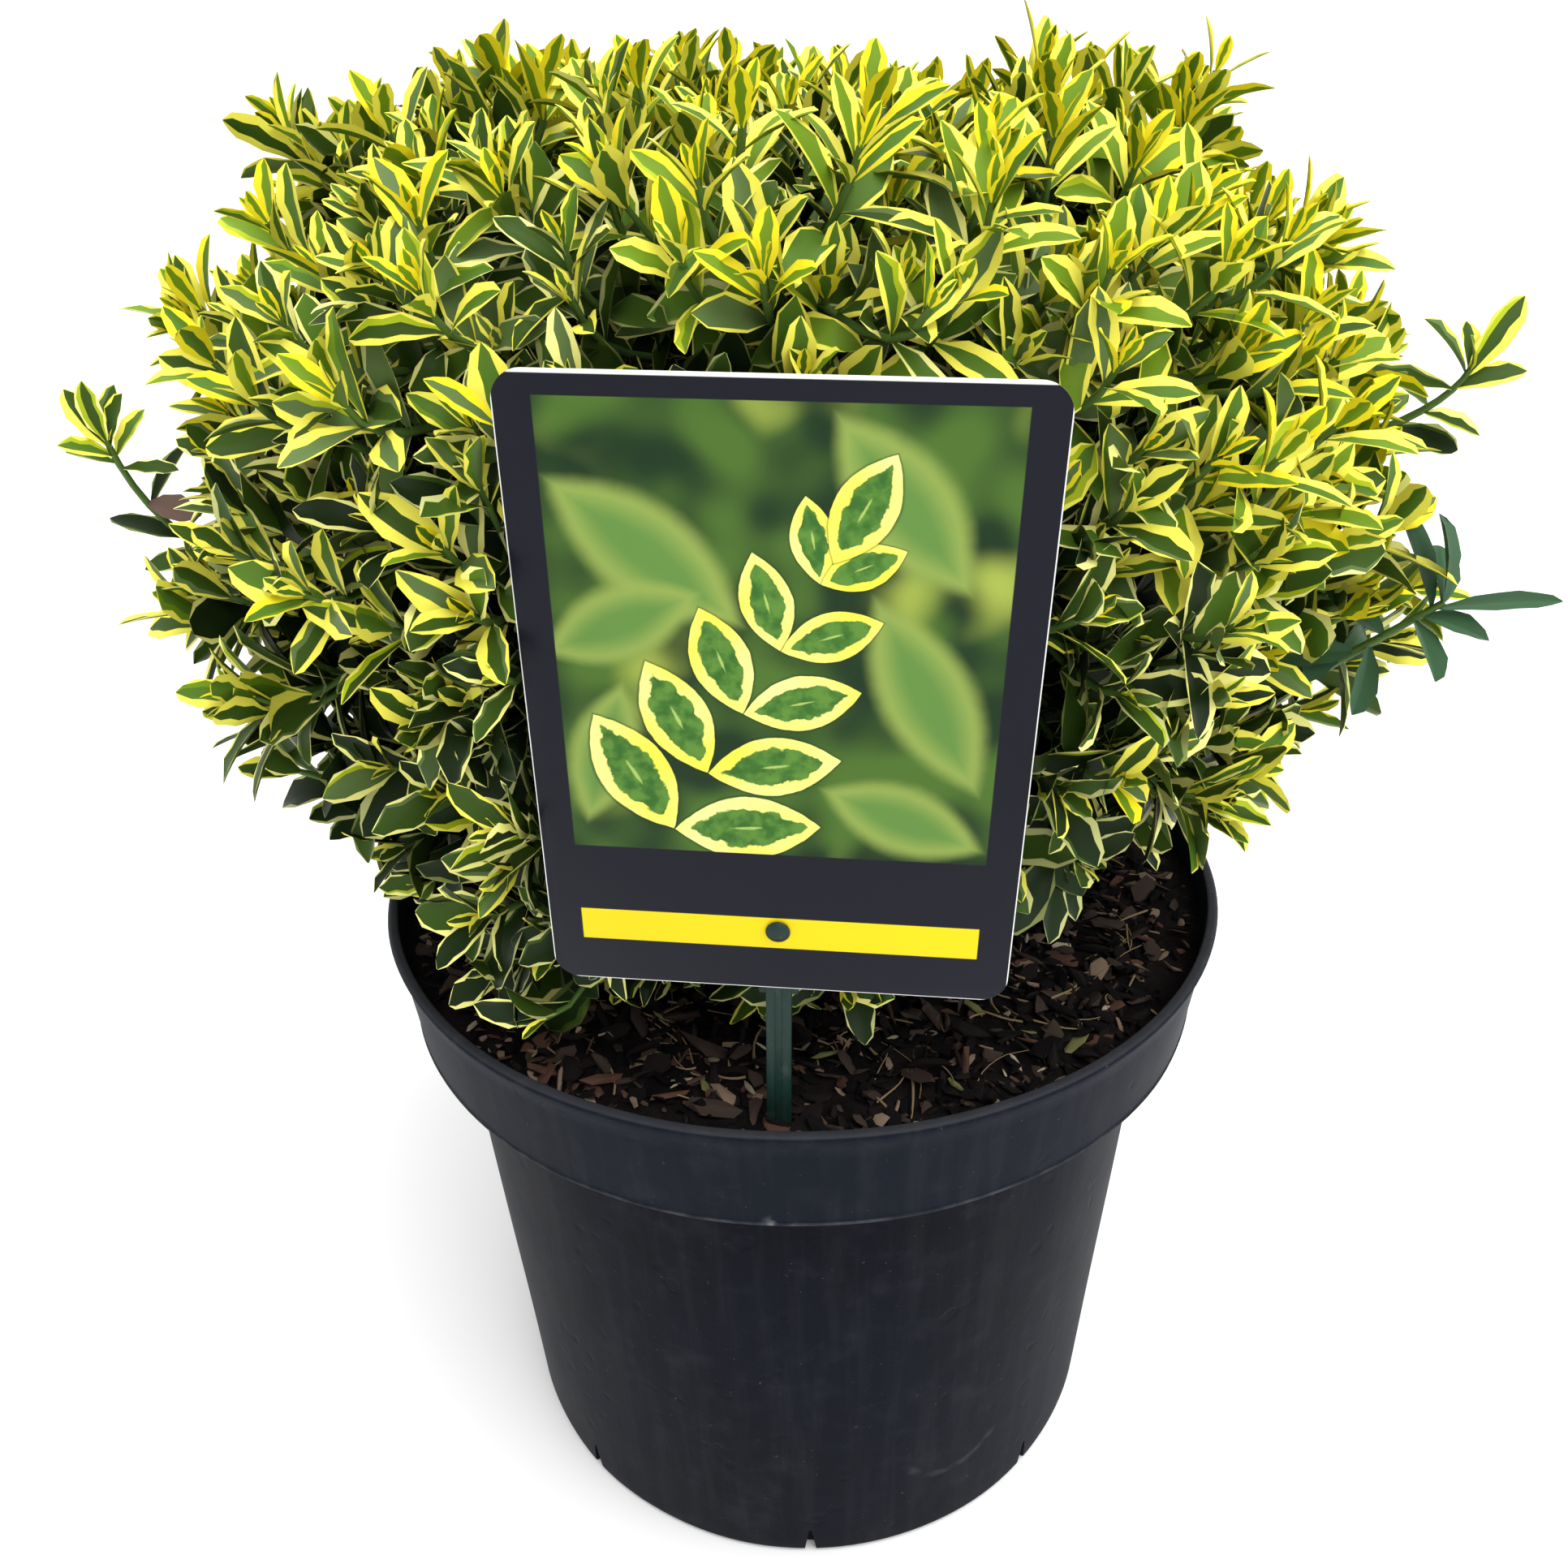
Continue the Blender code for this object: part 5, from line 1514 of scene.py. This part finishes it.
def down_shoot(path, distance):
    """The point at a distance below a shoot's tip, and the shoot's heading there."""
    steps = np.linalg.norm(np.diff(path, axis=0), axis=1)
    below = np.concatenate(([0], np.cumsum(steps[::-1])))
    places = [
        np.array([np.interp(distance + shift, below, path[::-1, axis]) for axis in range(3)])
        for shift in (0, -HEADING_STEP, HEADING_STEP)
    ]
    return places[0], unit(places[1] - places[2])


def paired_leaves(path, vigour, broad, rng):
    """Leaf pairs down a shoot, each turned a quarter from the last."""
    reach = np.linalg.norm(np.diff(path, axis=0), axis=1).sum() * PAIRED_SHARE
    spin = rng.uniform(0, math.tau)
    for order, (distance, opening, length, arch) in enumerate(LEAF_PAIRS):
        distance *= vigour * rng.uniform(*PAIR_SHIFT)
        if distance > reach:
            break
        root, heading = down_shoot(path, distance)
        side = unit(np.cross(heading, SLANTED))
        other = np.cross(heading, side)
        for half in (0, 1):
            turn = spin + math.pi * (0.5 * order + half) + rng.normal(0, PAIR_TURN)
            out = side * math.cos(turn) + other * math.sin(turn)
            angle = math.radians(opening + rng.normal(0, OPENING_SPREAD))
            along = heading * math.cos(angle) + out * math.sin(angle)
            face = heading * math.sin(angle) - out * math.cos(angle)
            face = face + np.array((0, 0, 1.0)) * FACE_LIFT * order / len(LEAF_PAIRS)
            yield {
                "root": root + out * SHOOT_RADII[1] * 0.5,
                "along": along,
                "face": unit(face - along * (face @ along)),
                "length": length * vigour * rng.uniform(*LENGTH_SPREAD),
                "broad": broad * rng.uniform(*BREADTH_SPREAD),
                "arch": arch * rng.uniform(*ARCH_SPREAD),
                "age": order / (len(LEAF_PAIRS) - 1),
                "fine": order < FINE_PAIRS,
            }


def placed_leaves(path, leaves, width):
    """The leaves of a lone shoot, each where its own distance and direction put it."""
    for distance, direction, length, broad in leaves:
        root, heading = down_shoot(path, distance)
        along = unit(np.array(direction))
        yield {
            "root": root,
            "along": along,
            "face": unit(heading + LONE_FACING - along * ((heading + LONE_FACING) @ along)),
            "length": length,
            "broad": broad / width,
            "arch": LONE_ARCH,
            "age": min(LONE_AGE + distance / LONE_AGE_SPAN, 1.0),
            "fine": True,
        }


def painted_sunshine(tip, radius, rng):
    """How sunny a shoot's tip is, painted into its leaves' tints as light and shade: by its height, in
    patches, more at the right, less within the crown; partly the real colour of sun-grown leaves.
    """
    left = float(np.clip(0.5 - tip[0] / LEFT_SPAN, 0, 1))
    high = (tip[2] - SUN_FOOT + SUN_FOOT_LEFT * left) / (SUN_SPAN + SUN_SPAN_LEFT * left)
    sun_and_painted_light = np.clip(high, 0, 1) * HIGH_SUN
    outward = Vector(unit(tip - CENTRE))
    sun_and_painted_light += rng.uniform(*SUN_SPREAD) + noise.noise(outward * PATCH_SCALE) * PATCH_SUN
    # Painted light on the right side, and painted shade deep within the crown
    sun_and_painted_light += max(tip[0], 0.0) * RIGHT_PAINTED_LIGHT
    return sun_and_painted_light - PAINTED_DEPTH_SHADE * max(0.0, SUN_DEPTH - crown_share(tip[None], radius)[0])


def put_on_leaves(shoots, settings, rng):
    """The leaves of every shoot, as one table of arrays."""
    leaf = settings.leaf
    rows = []
    for number, shoot in enumerate(shoots):
        path = shoot["path"]
        if "leaves" in shoot:
            # A fixed share of painted light for the lone shoots' tints
            sun_and_painted_light = LONE_SUN
            leaves = placed_leaves(path, shoot["leaves"], leaf.width)
        else:
            sun_and_painted_light = painted_sunshine(path[-1], settings.crown.radius, rng)
            rise = float(np.clip((path[-1][2] - LEAF_RISE_FOOT) / LEAF_RISE_SPAN, 0, 1))
            vigour = (LOW_LEAF_SIZE - LEAF_SIZE_FALL * rise) * rng.uniform(*VIGOUR)
            leaves = paired_leaves(path, vigour, LOW_LEAF_WIDTH - LEAF_WIDTH_FALL * rise, rng)
        for made in leaves:
            made.update(tints(rng, made.pop("age"), float(np.clip(sun_and_painted_light, 0, 1))))
            made["length"] *= leaf.size
            made["width"] = made["length"] * leaf.width * made.pop("broad")
            made.update({"shoot": number, "twist": rng.normal(0, TWIST_SPREAD)})
            rows.append(made)
        if shoot["mass"] == "middle_7" and "leaves" in shoot:
            rows.append(dead_leaf(number, path, leaf))
    return {key: np.array([row[key] for row in rows]) for key in rows[0]}


def dead_leaf(number, path, leaf):
    """The one withered leaf, on the lone shoot at the left."""
    made = next(placed_leaves(path, (DEAD_LEAF,), leaf.width))
    brown = len(MARGINS) + len(MIDDLES)
    made["width"] = made["length"] * leaf.width * made.pop("broad")
    made.update({"shoot": number, "twist": DEAD_TWIST, "shape": 0})
    made.update(dict.fromkeys(("margin", "zone", "other", "middle"), brown))
    made.pop("age")
    return made


def leaf_points(table, along, across, fold):
    """Where the corners of a leaf shape lie on every leaf of a table."""
    length, arch, twist = (table[key][:, None] for key in ("length", "arch", "twist"))
    width = table["width"][:, None] / 2
    bend = arch * along[None]
    ahead = length * np.sin(bend) / arch
    drop = length * (1 - np.cos(bend)) / arch
    roll = twist * along[None]
    flat = width * across[None]
    rise = np.abs(flat) * fold
    sideways = flat * np.cos(roll) - rise * np.sin(roll)
    upwards = flat * np.sin(roll) + rise * np.cos(roll)
    lengthwise = ahead + upwards * np.sin(bend)
    height = upwards * np.cos(bend) - drop
    beside = np.cross(table["face"], table["along"])
    return (
        table["root"][:, None]
        + table["along"][:, None] * lengthwise[..., None]
        + beside[:, None] * sideways[..., None]
        + table["face"][:, None] * height[..., None]
    )


def chosen(table, mask):
    """The rows of a table that a mask names."""
    return {key: values[mask] for key, values in table.items()}


def leaves_mesh(name, table, shapes, settings, materials, plain):
    """One mesh of all the leaves in a table."""
    points, faces, numbers, count = [], [], [], 0
    for (index, fine), (along, across, quads, columns) in shapes.items():
        rows = chosen(table, (table["shape"] == index) & (table["fine"] == fine))
        found = len(rows["length"])
        if not found:
            continue
        points.append(leaf_points(rows, along, across, settings.leaf.fold).reshape(-1, 3))
        offsets = count + np.arange(found)[:, None, None] * len(along)
        faces.append((quads[None] + offsets).reshape(-1, 4))
        order = FINE_ORDER if fine else COARSE_ORDER
        palette = np.column_stack([rows[key] for key in order])
        # Plain leaves: the second half of the columns takes the painted shade of the fold's other side
        if plain:
            palette = np.broadcast_to(np.arange(len(order)) >= len(order) // 2, palette.shape)
        number = palette[:, columns]
        numbers.append(number.ravel())
        count += found * len(along)
    return joined(name, points, faces, numbers, materials)


class SPINDLE_OT_crown(bpy.types.Operator):
    """Grows the crown: twigs, shoots and leaves on every mass, and the plain green shoot."""

    bl_idname = "spindle.crown"
    bl_label = "Crown"

    def execute(self, context):
        settings = context.scene.spindle
        rng = np.random.default_rng(settings.crown.seed)
        lone = lone_shoots(settings)
        shoots, twigs = shoot_paths(settings, rng, lone)
        shoots += lone
        table = put_on_leaves(shoots, settings, rng)
        table = self.kept(table, shoots, settings)
        self.make_leaves(table, shoots, settings)
        self.make_twigs(shoots, twigs, settings)
        return {"FINISHED"}

    def kept(self, table, shoots, settings):
        """Drops leaves that would leave the crown's reach or stand in the way of pot or card."""
        free = np.array([shoots[number]["free"] for number in table["shoot"]]) & table["fine"]
        samples = leaf_points(table, TESTED_ALONG, TESTED_ACROSS, 0.0)
        fine = ~crosses_card(samples, settings.label)
        lone = [shoot for shoot in shoots if "leaves" in shoot]
        own = np.array(["leaves" in shoots[number] for number in table["shoot"]])
        for index in range(samples.shape[1]):
            points = samples[:, index]
            fine &= clear(points, settings) & (points[:, 1] > FRONT_LIMIT - FRONT_OVER)
            fine &= free | (crown_share(points, settings.crown.radius) < REACH_LIMIT)
            fine &= own | ~beside_lone(points, lone, LONE_LEAF_ROOM)
        return chosen(table, fine)

    def make_leaves(self, table, shoots, settings):
        """One piece of leaves for each mass."""
        shapes = {}
        for index in range(LEAF_SHAPES):
            shapes[(index, True)] = leaf_shape(FINE_ROWS, FINE_BOUNDS, index)
            shapes[(index, False)] = leaf_shape(COARSE_ROWS, COARSE_BOUNDS, index)
        materials = leaf_materials(settings.leaf)
        leaf = settings.leaf
        green = [leaf_skin("leaf_plain", leaf.plain), leaf_skin("leaf_plain_half", leaf.plain_painted_shade_half)]
        masses = np.array([shoots[number]["mass"] for number in table["shoot"]])
        for name in sorted(set(masses)):
            rows = chosen(table, masses == name)
            if name == "green":
                mesh = leaves_mesh("leaves_green", rows, shapes, settings, green, True)
                piece("leaves_green", mesh, "leaf_green", "green_shoot")
            else:
                mesh = leaves_mesh(f"leaves_{name}", rows, shapes, settings, materials, False)
                piece(f"leaves_{name}", mesh, "leaf_variegated", f"foliage_{name}")

    def make_twigs(self, shoots, twigs, settings):
        """One piece of twigs for each ring of masses."""
        limbs = settings.limbs
        skins = [leaf_skin("stem_green", limbs.stem, 0.5), leaf_skin("twig_brown", limbs.twig, 0.6)]
        for ring in ("top", "upper", "middle", "lower", "green"):
            routes = []
            for shoot in shoots:
                if shoot["mass"].startswith(ring):
                    start = BOUGH_TIP_RADIUS if "leaves" in shoot else SHOOT_RADII[0]
                    routes.append((shoot["path"], np.linspace(start, SHOOT_RADII[1], len(shoot["path"])), 0))
            for name, path, (first, last) in twigs:
                if name.startswith(ring):
                    routes.append((path, np.linspace(first, last, len(path)), 1))
            replaced = [f"foliage_{name}" for name, own, _ in foliage_cells() if own == ring]
            if ring == "green":
                replaced = ["green_shoot"]
            piece(f"twigs_{ring}", tubes(f"twigs_{ring}", routes, 0, skins), "stem_bark", *replaced)


class SPINDLE_OT_label(bpy.types.Operator):
    """Cuts the card and moulds its stake."""

    bl_idname = "spindle.label"
    bl_label = "Label"

    def execute(self, context):
        label = context.scene.spindle.label
        place = label_place()
        bm = bmesh.new()
        half = Matrix.Diagonal((label.width / 2, label.height / 2, 1.0, 1.0))
        upright = Matrix.Translation((0, 0, label.height / 2)) @ Matrix.Rotation(math.pi / 2, 4, "X")
        bmesh.ops.create_grid(bm, x_segments=1, y_segments=1, size=1.0, matrix=upright @ half)
        bevelled(bm, bm.verts[:], "VERTICES", CARD_CORNER, 12)
        bmesh.ops.solidify(bm, geom=bm.faces[:], thickness=label.thickness)
        face = min(vertex.co.y for vertex in bm.verts)
        bmesh.ops.translate(bm, verts=bm.verts, vec=(0, -label.thickness / 2 - face, 0))
        rims = [edge for edge in bm.edges if edge.calc_face_angle(0) > 1.2]
        bevelled(bm, rims, "EDGES", label.thickness * 0.25, 2)
        bmesh.ops.transform(bm, matrix=place, verts=bm.verts)
        bmesh.ops.recalc_face_normals(bm, faces=bm.faces)
        mesh = smoothed(mesh_from(bm, "label_card_printed", card_print(label)), 35)
        piece("label_card_printed", mesh, "card_print", "label_card")
        self.mould_stake(label, place)
        return {"FINISHED"}

    def mould_stake(self, label, place):
        """The stake with its plate and rib, and the stud that holds the card."""
        back = label.thickness / 2 + GAP + STAKE_THICKNESS / 2
        height = PLATE_TOP - STAKE_FOOT
        plate = PLATE_TOP - GAP - PLATE_FOOT
        solids = []
        for size, middle in (
            ((STAKE_WIDTH, STAKE_THICKNESS, height), STAKE_FOOT + height / 2),
            ((PLATE_WIDTH, PLATE_THICKNESS, plate), PLATE_FOOT + plate / 2),
            ((RIB_WIDTH, RIB_THICKNESS, height * RIB_SHARE), STAKE_FOOT + height * RIB_MIDDLE),
        ):
            bm = bmesh.new()
            box(bm, size, (0, back, middle))
            bevelled(bm, bm.edges[:], "EDGES", STAKE_ROUND, 2)
            solids.append(bm)
        front = label.thickness / 2 + GAP
        top = front + PIN_HEAD_THICKNESS
        head = PIN_HEAD_RADIUS - STAKE_ROUND
        profile = [(0.0, -back), (PIN_RADIUS, -back), (PIN_RADIUS, front), (head, front)]
        profile += arc((head, front + STAKE_ROUND), STAKE_ROUND, -90, 60, 4)
        profile += arc((0.0, top - PIN_DOME), PIN_DOME, 60, 90, 5)[1:-1] + [(0.0, top)]
        pin = spun(profile, 32)
        lie = Matrix.Translation((0, 0, PIN_HEIGHT)) @ Matrix.Rotation(math.pi / 2, 4, "X")
        bmesh.ops.transform(pin, matrix=lie, verts=pin.verts)
        solids.append(pin)
        skin = stake_plastic(label)
        meshes = []
        for bm in solids:
            bmesh.ops.transform(bm, matrix=place, verts=bm.verts)
            meshes.append(mesh_from(bm, "stake_part", skin))
        mesh = smoothed(combined(meshes[0], meshes[1:], "UNION"), 35)
        piece("label_stake_moulded", mesh, "stake_plastic", "label_stake")


class SPINDLE_OT_stage(bpy.types.Operator):
    """Sets the floor, the lights and the camera."""

    bl_idname = "spindle.stage"
    bl_label = "Stage"

    def execute(self, context):
        stage = context.scene.spindle.stage
        scene = context.scene
        scene.view_settings.view_transform = "Standard"
        wall = arc((FLOOR_RADIUS, WALL_ROUND - GAP), WALL_ROUND, -90, -20, 16)
        bm = spun([(0.0, -GAP), (FLOOR_RADIUS, -GAP), *wall], FLOOR_SIDES)
        floor = bpy.data.objects.new("floor", smoothed(mesh_from(bm, "floor", backdrop()), 60))
        scene.collection.objects.link(floor)
        floor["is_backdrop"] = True
        world = bpy.data.worlds.new("sky")
        world.use_nodes = True
        background = world.node_tree.nodes["Background"]
        background.inputs["Color"].default_value = (1.0, 1.0, 1.0, 1.0)
        background.inputs["Strength"].default_value = stage.sky
        scene.world = world
        for name, place, spread, share in LAMPS:
            lamp = bpy.data.lights.new(name, "SUN")
            lamp.energy = stage.key * share
            lamp.angle = math.radians(spread)
            made = bpy.data.objects.new(name, lamp)
            made.location = place
            made.rotation_euler = (-Vector(place)).to_track_quat("-Z", "Y").to_euler()
            scene.collection.objects.link(made)
        camera = bpy.data.cameras.new("camera")
        camera.sensor_width = 36
        camera.lens = stage.lens
        camera.clip_start = 0.01
        made = bpy.data.objects.new("camera", camera)
        turn = Matrix.Rotation(stage.yaw, 4, "Z") @ Matrix.Rotation(math.pi / 2 - stage.pitch, 4, "X")
        made.matrix_world = Matrix.Translation(stage.place) @ turn @ Matrix.Rotation(stage.roll, 4, "Z")
        scene.collection.objects.link(made)
        scene.camera = made
        return {"FINISHED"}


OPERATORS = (
    SPINDLE_OT_stage,
    SPINDLE_OT_pot,
    SPINDLE_OT_soil,
    SPINDLE_OT_label,
    SPINDLE_OT_limbs,
    SPINDLE_OT_crown,
)


class SPINDLE_PT_panel(bpy.types.Panel):
    """Lists the pieces of the potted spindle."""

    bl_label = "Potted spindle"
    bl_idname = "SPINDLE_PT_panel"
    bl_space_type = "VIEW_3D"
    bl_region_type = "UI"
    bl_category = "Spindle"

    def draw(self, context):
        for operator in OPERATORS:
            self.layout.operator(operator.bl_idname)
        settings = context.scene.spindle
        for group in ("pot", "soil", "limbs", "crown", "leaf", "label", "stage"):
            column = self.layout.column(heading=group.title())
            held = getattr(settings, group)
            for name in held.__annotations__:
                column.prop(held, name)


CLASSES = (
    PotSettings,
    SoilSettings,
    CrownSettings,
    LeafSettings,
    LimbSettings,
    LabelSettings,
    StageSettings,
    SpindleSettings,
    *OPERATORS,
    SPINDLE_PT_panel,
)


def register():
    """Registers the add-on's classes and settings."""
    for made in CLASSES:
        bpy.utils.register_class(made)
    bpy.types.Scene.spindle = bpy.props.PointerProperty(type=SpindleSettings)


def unregister():
    """Takes the add-on's classes and settings out again."""
    del bpy.types.Scene.spindle
    for made in reversed(CLASSES):
        bpy.utils.unregister_class(made)


def main():
    """Builds the whole scene."""
    register()
    bpy.ops.spindle.stage()
    bpy.ops.spindle.pot()
    bpy.ops.spindle.soil()
    bpy.ops.spindle.label()
    bpy.ops.spindle.limbs()
    bpy.ops.spindle.crown()
    sizes = {"frame": FRAME_BOX, "visual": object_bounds()}
    {key: [list(corner) for corner in corners] for key, corners in sizes.items()}


if __name__ == "__main__":
    main()
